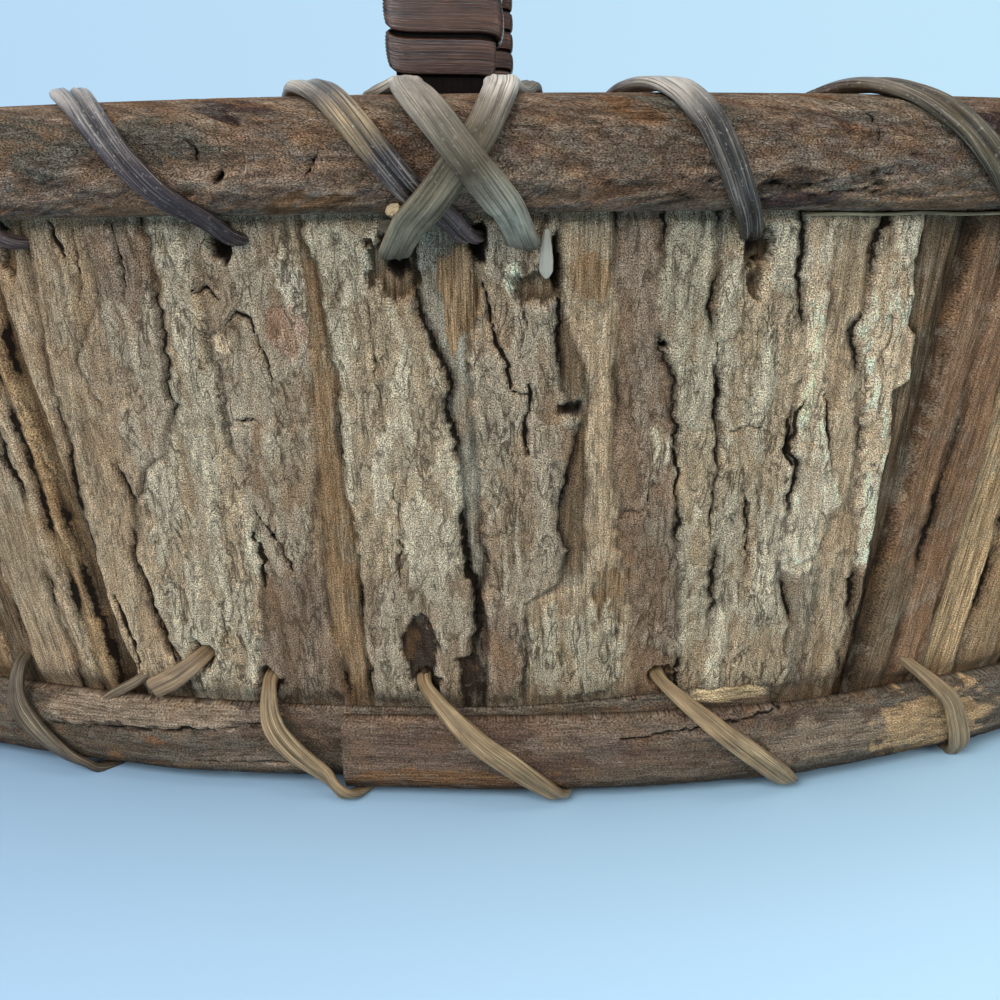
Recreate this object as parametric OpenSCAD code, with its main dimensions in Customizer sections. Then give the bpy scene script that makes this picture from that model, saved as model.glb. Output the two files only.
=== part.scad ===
// Oval bark gathering basket, in millimetres.
// Lapped bark slabs stand round an oval floor panel. Split-sapling rims clamp their top edge from both
// sides, a shaved hoop binds their foot, flat cane whips each binding through holes in the bark, and a
// cane-wrapped bentwood handle is tied in at the middle of each long side by a crossed lashing.
// The origin is on the table under the middle of the floor. X runs along the basket, the front faces -Y.
// Places round the oval are given as a run: the distance along the outline from the middle of the front,
// towards the right. Places on the leaning wall add out (square to the bark) and up (along its slope).

/* [Oval body] */
// Length of the wall's outline at the table
floor_length = 330; // [320:5:345]
// Width of the wall's outline at the table
floor_width = 190; // [184:2:200]
// Radius of the long sides in plan
side_radius = 350; // [335:5:380]
// Height of the bark up its slope
wall_up = 144; // [138:1:152]
// How far the wall leans out by its top edge
wall_lean = 20; // [16:1:23]
// Thickness of the bark
bark = 5; // [4.5:0.25:5.5]

/* [Bark slabs] */
// Width of the half-thickness lap where one slab covers the next
lap = 16; // [12:1:20]
// Height of the bark's highest plates above its furrows
ridge = 1.7; // [0:0.1:2]

/* [Rims and hoop] */
// Radius of the half-round outer rim
rim_radius = 10; // [9.5:0.25:10.5]
// Radius of the half-round inner rim
inner_rim_radius = 9; // [8:0.25:9.5]
// Width of the foot hoop up the wall
hoop_width = 18; // [16:0.5:19]
// Thickness of the foot hoop at its crown
hoop_thickness = 5.5; // [4.5:0.25:6]
// Length over which the hoop's two ends lap
hoop_lap = 92; // [80:1:100]

/* [Handle] */
// Width of the bentwood handle over its arch
handle_width = 18.6; // [18:0.1:19.4]
// Width of the handle's foot between the rims
foot_width = 15; // [14.5:0.1:16]
// Thickness of the bentwood
handle_thickness = 5; // [4.5:0.25:5.25]
// Height of the middle of the handle's arch
arch_z = 170; // [162:1:185]

/* [Cane] */
// Width of the cane that whips the rims
rim_cane_width = 5.4; // [5:0.1:6]
// Thickness of the cane that whips the rims
rim_cane_thickness = 2.4; // [2.2:0.1:2.6]
// Width of the cane in the crossed lashing
cross_cane_width = 6.2; // [5.8:0.1:6.6]
// Thickness of the cane in the crossed lashing
cross_cane_thickness = 2.6; // [2.4:0.1:2.8]
// Width of the cane that whips the foot
foot_cane_width = 4.8; // [4.4:0.1:5.4]
// Thickness of the cane that whips the foot
foot_cane_thickness = 2; // [1.8:0.1:2.4]
// Width of the strip wound round the handle
strip_width = 6.3; // [6:0.1:6.4]
// Distance from one turn of the strip to the next
strip_pitch = 6.9; // [6.9:0.1:7.4]
// Thickness of the strip
strip_thickness = 1.1; // [0.9:0.1:1.3]

/* [Hidden] */
$fn = 96;

// Oval of four arcs: long sides of side_radius, ends of end_radius, meeting smoothly
half_length = floor_length / 2;
half_width = floor_width / 2;
side_centre = side_radius - half_width;
end_radius = (side_radius ^ 2 - half_length ^ 2 - side_centre ^ 2) / (2 * (side_radius - half_length));
end_centre = half_length - end_radius;
side_sweep = asin(end_centre / (side_radius - end_radius));
end_sweep = 180 - 2 * side_sweep;
lean_angle = asin(wall_lean / wall_up);

// Levels up the wall
wall_foot = 3;
rim_up = wall_up - rim_radius + 1;
rim_foot = rim_up - rim_radius;
hoop_top = wall_foot + hoop_width;
rim_hole_up = rim_up - 14.2;
foot_hole_up = hoop_top + 5.5;
seat = 0.2;

// Outline growth at the rim, where the rim's stitches are measured
rim_grow = rim_up * sin(lean_angle);

// Slab edges on half the oval: the covering edge's run at mid height, and its slant along the run per mm up
slab_edges = [[-82.5, -0.17], [92, 0.1], [220, 0.04]];
slab_levels =
    [wall_foot, hoop_top + 4, hoop_top + 9, wall_up / 2, rim_foot - 9, rim_foot - 0.6, wall_up - 1];

// Plates of bark, from left to right, on the three slabs of half the oval: height as a share of the ridge, and
// the run of the plate's left edge at three levels. A slab's first plate starts at the slab's own edge.
plate_levels = [hoop_top + 4, wall_up / 2, rim_foot - 4];
first_plates = [0.5, 0.4, 0.7];
slab_plates = [
    [[0.8, -63.5, -68.5, -65], [0.9, -59.5, -61.5, -55], [0.6, -44, -42.5, -46.5], [0, -24.5, -27.5, -28],
        [1, -19.5, -21, -23.5], [-0.2, 0, 1, -7], [0.9, 5, 6, 4.5], [0, 12.5, 20.5, 17], [0.5, 15.5, 25, 20.5],
        [0.7, 35.5, 32, 29], [0.95, 46, 42.5, 38], [0.9, 52.5, 50.5, 47], [0.7, 67.5, 66.5, 62.5],
        [0.55, 73.5, 74.5, 69.5], [1, 78.5, 80.5, 78]],
    [[0.9, 96, 101, 106], [0.2, 104, 109, 113], [0.95, 115, 120, 124], [0.1, 129, 133, 136],
        [0.8, 135, 139.5, 143], [0.3, 150, 153, 156], [1, 157, 160.5, 164], [0.15, 172, 175, 177],
        [0.85, 178.5, 181.5, 184], [0.3, 194, 196, 199], [0.9, 201, 203.5, 206]],
    [[0.15, 232, 231, 230.5], [0.9, 238, 237.5, 237], [0.3, 253, 251, 250], [1, 259.5, 257.5, 256],
        [0.1, 275, 272, 269], [0.8, 281.5, 278, 275], [0.25, 298, 293, 289], [0.95, 304.5, 299, 295],
        [0.2, 321, 314, 308], [0.75, 327.5, 320, 314]]];
plate_bevel = 0.6;
plate_crown = 0.2;

// Rim stitches of half the oval: where each comes over the top, and how far on its hole lies
front_stitches = [[37.7, 18.8], [77, 36.5]];
back_stitches = [[-68.4, 29.4], [-24, 28]];
side_stitches = 6;
side_stitch_reach = 32;

// Foot stitches: holes along the front and how far each strand runs on before it passes under the hoop;
// the hole of the tucked tail has its own run and level
front_foot_holes = [-101.5, -41, -7, 43, 99.5];
front_foot_drops = [16.5, 19, 29.5, 30, 16];
end_foot_stitches = 4;
end_foot_drop = 20;
tail_hole = [-56, 31.5];

// Crossed lashing: its two holes and the places where it comes over the rim, beside the handle
cross_left = -9.7;
cross_right = 14;
cross_hole_up = rim_up - 15.5;

// Arch of the handle: an arc that runs smoothly into the two leaning legs
leg_out = -bark - 0.3 - handle_thickness / 2;
leg_y = half_width + leg_out / cos(lean_angle);
arch_radius = (leg_y + arch_z * tan(lean_angle)) * cos(lean_angle);
foot_up = rim_foot + 3;
leg_top_up = (arch_z - arch_radius * sin(lean_angle) + leg_out * sin(lean_angle)) / cos(lean_angle);
wrap_start_up = rim_up + rim_radius + 3;
leg_run = leg_top_up - wrap_start_up;
arch_run = arch_radius * (180 + 2 * lean_angle) * PI / 180;
strip_turns = floor((2 * leg_run + arch_run) / strip_pitch);

function degrees(radians) = radians * 180 / PI;
function unit(v) = v / norm(v);
function blend(a, b, t) = a + (b - a) * t;
function ease(t) = let (c = min(1, max(0, t))) c * c * (3 - 2 * c);

// Oval outline grown evenly by grow
function side_run(grow) = (side_radius + grow) * side_sweep * PI / 180;
function end_run(grow) = (end_radius + grow) * end_sweep * PI / 180;
function half_girth(grow) = 2 * side_run(grow) + end_run(grow);

// Arc that a run falls on: its centre, radius and bearing, and whether it is on the turned-round back half
function oval_spot(run, grow) =
    let (along = run + side_run(grow),
        halves = floor(along / half_girth(grow)),
        rest = along - halves * half_girth(grow),
        flip = halves % 2 == 0 ? 1 : -1,
        on_side = rest < 2 * side_run(grow))
    on_side
        ? [[0, side_centre], side_radius, degrees(rest / (side_radius + grow)) - 90 - side_sweep, flip]
        : [[end_centre, 0], end_radius,
            degrees((rest - 2 * side_run(grow)) / (end_radius + grow)) - 90 + side_sweep, flip];

function place(run, radial, z, grow = 0) =
    let (spot = oval_spot(run, grow),
        p = spot[0] + (spot[1] + radial) * [cos(spot[2]), sin(spot[2])])
    [spot[3] * p.x, spot[3] * p.y, z];

function bearing(run, grow = 0) =
    let (spot = oval_spot(run, grow)) spot[2] + (spot[3] > 0 ? 0 : 180);

function wall(run, out, up, grow = 0) =
    let (radial = up * sin(lean_angle) + out * cos(lean_angle),
        z = up * cos(lean_angle) - out * sin(lean_angle))
    place(run, radial, z, grow);

// Skin through rings of equal count, closed by a strip of triangles at each end
function cap_faces(first, sides, flip) =
    [for (j = [0 : sides / 2 - 2])
        let (a = first + j, b = first + j + 1, c = first + sides - 2 - j, d = first + sides - 1 - j)
        each flip ? [[a, b, c], [a, c, d]] : [[a, c, b], [a, d, c]]];

module loft(rings) {
    sides = len(rings[0]);
    last = len(rings) - 1;
    polyhedron(
        points = [for (ring = rings) each ring],
        faces = concat(
            [for (i = [0 : last - 1], j = [0 : sides - 1])
                let (a = i * sides + j, b = i * sides + (j + 1) % sides)
                each [[a, b + sides, a + sides], [a, b, b + sides]]],
            cap_faces(0, sides, false),
            cap_faces(last * sides, sides, true)));
}

module oval_plate(grow) {
    join = (side_radius + grow) * sin(side_sweep);
    intersection() {
        translate([0, side_centre]) circle(side_radius + grow);
        translate([0, -side_centre]) circle(side_radius + grow);
        square([2 * join, 4 * half_width], center = true);
    }
    for (side = [-1, 1]) translate([side * end_centre, 0]) circle(end_radius + grow);
}

// Bark slabs

// How much of a plate's height is left near the rim and the hoop
function plate_share(up) = ease((up - hoop_top - 5) / 4) * ease((rim_foot - 1 - up) / 8);

function slab_edge(index, up) =
    let (edge = slab_edges[index % 3], half = floor(index / 3))
    edge[0] + half * half_girth(0) + edge[1] * (up - wall_up / 2);

// Left edge of a slab's plate, or, past the last plate, where the slab goes under the next
function plate_edge(index, k, up) =
    let (plates = slab_plates[index % 3])
    k == 0 ? slab_edge(index, up)
    : k > len(plates) ? slab_edge(index + 1, up) - 4
    : floor(index / 3) * half_girth(0)
        + lookup(up, [for (j = [0 : 2]) [plate_levels[j], plates[k - 1][j + 1]]]);

// Columns of a slab: plate, place across it, distance past that place, height, and whether it is lapped over.
// Each plate has one at each edge and a higher one along its middle.
function slab_columns(index) =
    let (plates = slab_plates[index % 3],
        last = len(plates),
        shares = concat([first_plates[index % 3]], [for (plate = plates) plate[0]]))
    concat(
        [[0, 0, 0, shares[0], false]],
        [for (k = [0 : last]) each concat(
            [[k, 0.5, 0, shares[k] + plate_crown, false],
                [k, 1, k < last ? -plate_bevel : 0, shares[k], false]],
            k < last ? [[k + 1, 0, plate_bevel, shares[k + 1], false]] : [])],
        [for (past = [3, 4 + lap / 2, 4 + lap]) [last, 1, past, 0, true]]);

// One upright section of a slab: its outer face from foot to top, then its inner face back down.
// The inner face is cut back over the lap that the slab covers.
function slab_ring(index, column) =
    let (lapped = bark / 2 + 0.1,
        points = [for (up = slab_levels)
            let (run = column[2] + blend(plate_edge(index, column[0], up), plate_edge(index, column[0] + 1, up),
                    column[1]),
                over = min(1, max(0, 1 - (run - slab_edge(index, up) - lap - 10) / 8)),
                rise = column[4] ? -lapped : ridge * column[3] * plate_share(up))
            [wall(run, rise, up), wall(run, over * lapped - bark, up)]])
    concat([for (p = points) p[0]], [for (j = [len(points) - 1 : -1 : 0]) points[j][1]]);

// A ragged punched hole, square to the bark
module punched(run, up, high, wide, grow = 0) {
    translate(wall(run, -bark, up, grow)) rotate([0, 90 + lean_angle, bearing(run, grow)])
        linear_extrude(4 * bark, center = true)
            polygon([for (a = [20 : 40 : 340]) [high * cos(a), wide * sin(a) * (1 + 0.12 * cos(3 * a))]]);
}

// Run and level of every hole near the foot
function foot_holes() =
    concat([tail_hole],
        [for (turn = [0, 1], run = concat(front_foot_holes, end_foot_holes()))
            [run + turn * half_girth(0), foot_hole_up]]);

function end_foot_holes() =
    let (from = front_foot_holes[4], to = front_foot_holes[0] + half_girth(0))
    [for (k = [1 : end_foot_stitches]) blend(from, to, k / (end_foot_stitches + 1))];

function rim_stitches() =
    let (half = half_girth(rim_grow), from = front_stitches[1][0], to = back_stitches[0][0] + half)
    concat(front_stitches,
        [for (k = [1 : side_stitches]) [blend(from, to, k / (side_stitches + 1)), side_stitch_reach]],
        [for (stitch = back_stitches) stitch + [half, 0]]);

// Whether two places on the outline are close, whichever way round
function near(a, b, reach, girth) =
    let (gap = abs(a - b) % girth) min(gap, girth - gap) < reach;

module bark_slab(index) {
    middle = (slab_edge(index, wall_up / 2) + slab_edge(index + 1, wall_up / 2) + lap) / 2;
    reach = slab_edge(index + 1, wall_up / 2) - middle + 2 * lap;
    rim_scale = half_girth(rim_grow) / half_girth(0);
    difference() {
        loft([for (column = slab_columns(index)) slab_ring(index, column)]);
        for (turn = [0, 1], stitch = rim_stitches()) {
            hole = stitch[0] + stitch[1] + turn * half_girth(rim_grow);
            if (near(hole / rim_scale, middle, reach, 2 * half_girth(0)))
                punched(hole, rim_hole_up, 4, 5, rim_grow);
        }
        for (turn = [0, 1], cross = [[cross_left, 6.5, 5.5], [cross_right, 5, 5]]) {
            hole = cross[0] + turn * half_girth(rim_grow);
            if (near(hole / rim_scale, middle, reach, 2 * half_girth(0)))
                punched(hole, cross_hole_up + 1, cross[1], cross[2], rim_grow);
        }
        for (hole = foot_holes())
            if (near(hole[0], middle, reach, 2 * half_girth(0))) punched(hole[0], hole[1], 4.4, 5.4);
    }
}

module bark_front() { color([0.53, 0.46, 0.36]) bark_slab(0); }
module bark_right_front() { color([0.46, 0.34, 0.25]) bark_slab(1); }
module bark_right_back() { color([0.5, 0.42, 0.32]) bark_slab(2); }
module bark_back() { color([0.52, 0.45, 0.35]) bark_slab(3); }
module bark_left_back() { color([0.47, 0.38, 0.28]) bark_slab(4); }
module bark_left_front() { color([0.52, 0.42, 0.3]) bark_slab(5); }

// Floor panel, stitched to the wall's foot

panel_thickness = 5;
panel_grow = -bark - 0.4;
stitch_inset = 16;

module floor_panel() {
    color([0.45, 0.36, 0.27]) difference() {
        translate([0, 0, wall_foot]) linear_extrude(panel_thickness) oval_plate(panel_grow);
        for (turn = [0, 180], k = [0 : 8]) rotate(turn) {
            holes = concat(front_foot_holes, end_foot_holes());
            drops = concat(front_foot_drops, end_foot_drops);
            run = holes[k] + drops[k] + 8;
            translate(place(run, -stitch_inset, wall_foot - 1)) rotate(bearing(run))
                cylinder(h = panel_thickness + 2, r = 5.8, $fn = 8);
        }
    }
}

// Foot hoop: one shaved strip that starts with a square end over its own thinned tail

hoop_start = -25;
hoop_rings = 72;
tail_thickness = 2.8;

// How far the hoop stands off the wall to clear its own tail
function hoop_lift(run) =
    run < hoop_start - 1 ? 0
    : (tail_thickness + 0.5) * (1 - ease((run - hoop_start - hoop_lap) / 45));

function hoop_ring(run) =
    let (end = hoop_start + 2 * half_girth(0) + hoop_lap,
        tail = ease((run - end + hoop_lap + 40) / 40),
        start = 1 - ease((run - hoop_start) / 60),
        thick = blend(hoop_thickness, tail_thickness, tail) - start * 1.5,
        rise = 3.4 * ease((run - end + hoop_lap * 0.7) / (hoop_lap * 0.7)),
        off = 0.4 + hoop_lift(run))
    [for (p = [[0, 0.03], [0.62, 0.1], [1, 0.38], [1, 0.7], [0.62, 0.97], [0, 1]])
        wall(run, off + p[0] * thick, wall_foot + 0.2 + rise + p[1] * (hoop_width - 0.4))];

module foot_hoop() {
    color([0.43, 0.34, 0.24])
        loft([for (i = [0 : hoop_rings])
            hoop_ring(blend(hoop_start, hoop_start + 2 * half_girth(0) + hoop_lap, i / hoop_rings))]);
}

// Cane strands

cane_section = [[1, 0], [0.55, 1], [-0.55, 1], [-1, 0], [-0.55, -1], [0.55, -1]];

rim_cane = [rim_cane_width, rim_cane_thickness];
cross_cane = [cross_cane_width, cross_cane_thickness];
foot_cane = [foot_cane_width, foot_cane_thickness];

// A strand is a list of [point on its middle line, direction that its rounded face looks in];
// its size is [width, thickness]
function strand_ring(strand, size, i) =
    let (last = len(strand) - 1,
        along = unit(strand[min(i + 1, last)][0] - strand[max(i - 1, 0)][0]),
        side = unit(cross(along, strand[i][1])),
        face = cross(side, along))
    [for (s = cane_section)
        strand[i][0] + side * s[0] * size[0] / 2 + face * s[1] * size[1] / 2];

module cane(strand, size) {
    loft([for (i = [0 : len(strand) - 1]) strand_ring(strand, size, i)]);
}

// Least distance between the surface points of stretches of a strand that are more than skip rings apart
function least_gap(strand, size, skip) =
    let (rings = [for (i = [0 : len(strand) - 1]) strand_ring(strand, size, i)])
    min([for (i = [0 : len(strand) - 1 - skip], j = [i + skip : len(strand) - 1])
        let (apart = norm(strand[i][0] - strand[j][0]))
        apart > 2 * size[0] ? apart - size[0] : min([for (p = rings[i], q = rings[j]) norm(p - q)])]);

// Round the rims, a strand is placed by run, centre, angle and reach in the wall's own section
function round_rim(run, centre, angle, reach) =
    let (core = wall(run, centre, rim_up, rim_grow),
        p = wall(run, centre + reach * cos(angle), rim_up + reach * sin(angle), rim_grow))
    [p, unit(p - core)];

// How far from the middle of each rim's flat side a strand of this size lies
function outer_reach(size) = rim_radius + size[1] / 2 + 0.7;
function inner_reach(size) = inner_rim_radius + size[1] / 2 + 1.2;

// One stitch: over the rims, slanting down the outside, in through its hole and up the inside to the next
function rim_stitch(stitch, next) =
    let (run = stitch[0],
        reach = stitch[1],
        hole = run + reach,
        drop = rim_up - rim_hole_up,
        inside = inner_reach(rim_cane))
    concat(
        [for (angle = [90 : -30 : -60])
            round_rim(run + reach * (90 - angle) / 175, 0, angle, outer_reach(rim_cane))],
        [round_rim(hole - 0.5, 0, -84, drop), round_rim(hole + 0.5, -bark, -96, drop)],
        is_undef(next) ? [round_rim(hole - 3, -bark, -140, inside + 1)]
            : [for (k = [0 : 3])
                round_rim(blend(hole + 3, next[0] - 4, k / 3), -bark, -138 - 38 * k, inside)]);

function rim_strand() =
    let (stitches = rim_stitches(), start = stitches[0][0] - 14)
    concat(
        [for (k = [1 : 3]) round_rim(start + 3.4 * k, -bark, -138 - 38 * k, inner_reach(rim_cane))],
        [for (k = [0 : len(stitches) - 1]) each rim_stitch(stitches[k], stitches[k + 1])]);

module rim_lash_right() { color([0.36, 0.31, 0.27]) cane(rim_strand(), rim_cane); }
module rim_lash_left() { color([0.36, 0.31, 0.27]) rotate(180) cane(rim_strand(), rim_cane); }

// Crossed lashing: up from the left hole to the right of the handle, down inside, out of the right hole and
// back over itself to the left of the handle, ending in a stub beside the first hole.
// On the outside each limb has a run and a lift, in layers of cane, at seven angles round the rim.
rising_runs = [-5.8, -2, 2.8, 6.5, 8.6, 9.9, 10.2];
rising_lifts = [0.8, 1.1, 0.6, 0.1, 0, 0, 0];
falling_runs = [11.6, 9.9, 5.6, 0.5, -3.3, -5.6, -6.8];
falling_lifts = [0.3, 1.1, 1.7, 1.4, 0.6, 0.1, 0];
cross_layer = cross_cane_thickness + 0.4;

function cross_limb(runs, lifts) =
    [for (k = [0 : 6])
        round_rim(runs[k], 0, -52 + 142 * k / 6, outer_reach(cross_cane) + lifts[k] * cross_layer)];

function cross_strand() =
    let (low = rim_up - cross_hole_up, inside = inner_reach(cross_cane))
    concat(
        [round_rim(cross_left + 1, -bark, -103, low + 1), round_rim(cross_left, 0, -86, low + 1.5)],
        cross_limb(rising_runs, rising_lifts),
        [round_rim(14.6, -bark, 90, inside + 1.6)],
        [for (k = [0 : 3]) round_rim(15 + 0.5 * k, -bark, 135 + 37 * k, inside + cross_layer)],
        [round_rim(cross_right, -bark, -96, low), round_rim(cross_right, 0, -84, low)],
        cross_limb(falling_runs, falling_lifts),
        [round_rim(-14, -bark, 90, inside + 1.6)],
        [for (k = [0 : 3]) round_rim(-13.6 + 1.4 * k, -bark, 135 + 33 * k, inside)],
        [round_rim(cross_left + 0.3, -bark, -112, low - 3), round_rim(cross_left + 0.6, 0, -78, low - 3)]);

module handle_lash_front() { color([0.45, 0.42, 0.35]) cane(cross_strand(), cross_cane); }
module handle_lash_back() { color([0.45, 0.42, 0.35]) rotate(180) cane(cross_strand(), cross_cane); }

// Round the foot, the strand's rounded face looks away from the middle of the bound edge
function round_foot(run, p) =
    [p, unit(p - wall(run, -bark / 2, wall_foot + hoop_width / 2))];

// One stitch: out of its hole, slanting down over the hoop, under the foot, up through the floor panel
// and along the inside to the next hole
function foot_stitch(hole, drop, next) =
    let (crown = hoop_thickness + 0.4 + foot_cane_thickness / 2 + 0.7,
        low = foot_cane_thickness / 2 - 0.5,
        under = hole + drop,
        inner = under + 8,
        rest = is_undef(next) ? 10 : next - inner,
        turns = [[0.5, 3.5, 0], [6, -12.5, 0.1],
            [7.5, -stitch_inset - 0.4, 4.4], [8, -stitch_inset - 0.8, 9.4]])
    concat(
        [round_foot(hole, wall(hole, 2.2, foot_hole_up))],
        [for (k = [1 : 4])
            let (run = hole + drop * [0, 0.22, 0.5, 0.74, 0.93][k])
            round_foot(run, wall(run, hoop_lift(run) + crown - [0, 0.6, 0, 0.2, 1.4][k],
                blend(foot_hole_up, 1.5, [0, 0.26, 0.55, 0.8, 0.95][k])))],
        [for (p = turns) round_foot(under + p[0], place(under + p[0], p[1], low + p[2]))],
        [for (share = is_undef(next) ? [0.5, 0.9] : [0.35, 0.7])
            let (run = inner + rest * share)
            round_foot(run, place(run, -stitch_inset + 2 + 6.5 * share, 10 + 19 * share))],
        is_undef(next) ? [] : [round_foot(next, wall(next - 1, -bark - 1.2, foot_hole_up + 0.3))]);

function foot_strand(holes, drops) =
    let (first = holes[0])
    concat(
        [round_foot(first, wall(first - 6, -bark - 5, foot_hole_up - 4)),
            round_foot(first, wall(first - 1, -bark - 1.2, foot_hole_up + 0.3))],
        [for (k = [0 : len(holes) - 1]) each foot_stitch(holes[k], drops[k], holes[k + 1])]);

// The strand is worn flat where the basket stands on it
module foot_lash(holes, drops) {
    difference() {
        cane(foot_strand(holes, drops), foot_cane);
        translate([0, 0, -5]) cube([2 * floor_length, 2 * floor_width, 10], center = true);
    }
}

// Each strand serves one stretch of the foot: a long side or an end
function shifted(runs, by) = [for (run = runs) run + by];
end_foot_drops = [for (k = [1 : end_foot_stitches]) end_foot_drop];

module foot_lash_front() {
    color([0.5, 0.41, 0.29]) foot_lash(front_foot_holes, front_foot_drops);
}
module foot_lash_right() {
    color([0.5, 0.41, 0.29]) foot_lash(end_foot_holes(), end_foot_drops);
}
module foot_lash_back() {
    color([0.5, 0.41, 0.29]) foot_lash(shifted(front_foot_holes, half_girth(0)), front_foot_drops);
}
module foot_lash_left() {
    color([0.5, 0.41, 0.29]) foot_lash(shifted(end_foot_holes(), half_girth(0)), end_foot_drops);
}

// Tucked end of a strand, from the hoop's top edge slanting up into a hole of its own
module foot_lash_tail() {
    bends = [[-11.5, 3.2, -7.4], [-6, 3.4, -4.2], [-1.5, 3, -0.8], [0.6, -1.5, 0.6], [3, -bark - 3, 2]];
    outward = wall(tail_hole[0], 1, 0) - wall(tail_hole[0], 0, 0);
    color([0.5, 0.41, 0.29])
        cane([for (b = bends) [wall(tail_hole[0] + b[0], b[1], tail_hole[1] + b[2]), outward]], foot_cane);
}

// Rims, each one half-round sapling bent right round, whose ends meet in a slanting scarf

rim_rings = 84;
rim_angles = [for (k = [0 : 7]) -90 + 180 * k / 7];
scarf_slant = 2.2;

// Half-round sections of a rim from one face of its scarf to the other; side is 1 outside the wall, -1 inside
function rim_profile(start, radius, centre, side, level) =
    [for (i = [0 : rim_rings])
        let (run = start + 0.3 + (2 * half_girth(rim_grow) - 0.6) * i / rim_rings)
        [for (angle = rim_angles)
            let (out = max(radius * cos(angle), seat), up = level + side * radius * sin(angle))
            wall(run + scarf_slant * out, centre + side * out, up, rim_grow)]];

module rim_outer() {
    color([0.4, 0.31, 0.23]) loft(rim_profile(half_girth(rim_grow) - 118, rim_radius, 0, 1, rim_up));
}

// The inner rim is notched over the feet of the handle
module rim_inner() {
    notch = [foot_width + 1.8, handle_thickness + 1, 4 * rim_radius];
    color([0.42, 0.34, 0.25]) difference() {
        loft(rim_profile(118, inner_rim_radius, -bark, -1, rim_up - 0.5));
        for (turn = [0, 180]) rotate(turn)
            translate(wall(0, leg_out + 0.4, rim_up)) rotate([lean_angle, 0, 0]) cube(notch, center = true);
    }
}

// Thin cane splint packed under the outer rim's lower edge at the front right
module rim_shim() {
    shim = [66, 196];
    color([0.6, 0.52, 0.34])
        loft([for (i = [0 : 12])
            let (run = blend(shim[0], shim[1], i / 12))
            [for (p = [[0.4, -1.3], [2, -1.1], [2, -0.3], [0.4, -0.3]])
                wall(run, p[0], rim_foot + p[1], rim_grow)]]);
}

// Handle

// Each leg is a shade slimmer than the arch and runs a little way up into it
module handle_core() {
    leg_length = leg_top_up - foot_up + 3;
    leg_side = [[foot_width / 2, 0], [handle_width / 2 - 0.1, leg_length]];
    color([0.16, 0.12, 0.1]) {
        translate([0, 0, arch_z]) rotate([90, 0, 90])
            rotate([0, 0, -lean_angle]) rotate_extrude(angle = 180 + 2 * lean_angle)
                translate([arch_radius, 0]) square([handle_thickness, handle_width], center = true);
        for (turn = [0, 180]) rotate(turn)
            translate(wall(0, leg_out, foot_up)) rotate([lean_angle + 90, 0, 0])
                linear_extrude(handle_thickness - 0.2, center = true)
                    polygon([[-leg_side[0].x, 0], leg_side[0], leg_side[1], [-leg_side[1].x, leg_length]]);
    }
}

// Middle line of the handle, from the front foot's wrapping to the back: point, outward direction, width
function handle_spot(travel) =
    let (over = travel - leg_run, back = over - arch_run)
    over < 0 ? leg_spot(0, -over)
    : back > 0 ? leg_spot(half_girth(0), back)
    : let (angle = 180 + lean_angle - degrees(over / arch_radius), d = [0, cos(angle), sin(angle)])
        [[0, 0, arch_z] + arch_radius * d, d, handle_width];

// The same on a leg, below its join with the arch
function leg_spot(run, below) =
    [wall(run, leg_out, leg_top_up - below),
        wall(run, 1, 0) - wall(run, 0, 0),
        blend(handle_width, foot_width, below / (leg_top_up - foot_up))];

// The strip bends at six places a turn round a flat section whose edges are crowned
strip_bends = [[1, 1], [1, -1], [1.04, 0], [-1, -1], [-1, 1], [-1.04, 0]];
strip_order = [0, 4, 5, 3, 1, 2];

function strip_ring(i) =
    let (travel = strip_pitch * (0.5 + i / 6),
        bend = strip_bends[strip_order[i % 6]],
        before = handle_spot(travel - strip_width / 2),
        after = handle_spot(travel + strip_width / 2))
    [for (corner = [[before, 0.12], [after, 0.12], [after, strip_thickness], [before, strip_thickness]])
        let (spot = corner[0], rise = corner[1])
        spot[0] + [bend[0] * (spot[2] / 2 + rise), 0, 0]
            + spot[1] * bend[1] * (handle_thickness / 2 + rise)];

strip_rings = [for (i = [0 : 6 * (strip_turns - 1)]) strip_ring(i)];

module handle_wrap() {
    color([0.25, 0.17, 0.13]) loft(strip_rings);
}

echo(strip_gap = min([for (i = [0 : len(strip_rings) - 7], edges = [[1, 0], [2, 3]])
    norm(strip_rings[i][edges[0]] - strip_rings[i + 6][edges[1]])]));
echo(rim_strand_gap = least_gap(rim_strand(), rim_cane, 6));
echo(cross_strand_gap = least_gap(cross_strand(), cross_cane, 6));
echo(foot_strand_gap = least_gap(foot_strand(front_foot_holes, front_foot_drops), foot_cane, 7));

bark_front();
bark_right_front();
bark_right_back();
bark_back();
bark_left_back();
bark_left_front();
floor_panel();
foot_hoop();
foot_lash_front();
foot_lash_right();
foot_lash_back();
foot_lash_left();
foot_lash_tail();
rim_outer();
rim_inner();
rim_shim();
rim_lash_right();
rim_lash_left();
handle_core();
handle_wrap();
handle_lash_front();
handle_lash_back();
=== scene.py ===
"""Looks of the bark gathering basket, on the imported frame.

Lengths are worked out in millimetres, in the frame of the solids, and become metres when a mesh is made.
A place round the basket is a run, the distance along the foot's outline from the middle of the front towards
the right. A place on the leaning wall adds out, square to the bark, and up, along its slope.
"""
import logging
import math
from dataclasses import dataclass, field, replace
from enum import Enum
from typing import Any

import bpy
import numpy as np
from bpy.types import ID, Material, Node, Object
from bpy.types import NodeSocket as Socket
from bpy.types import NodeTree as Tree
from mathutils import Matrix


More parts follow.
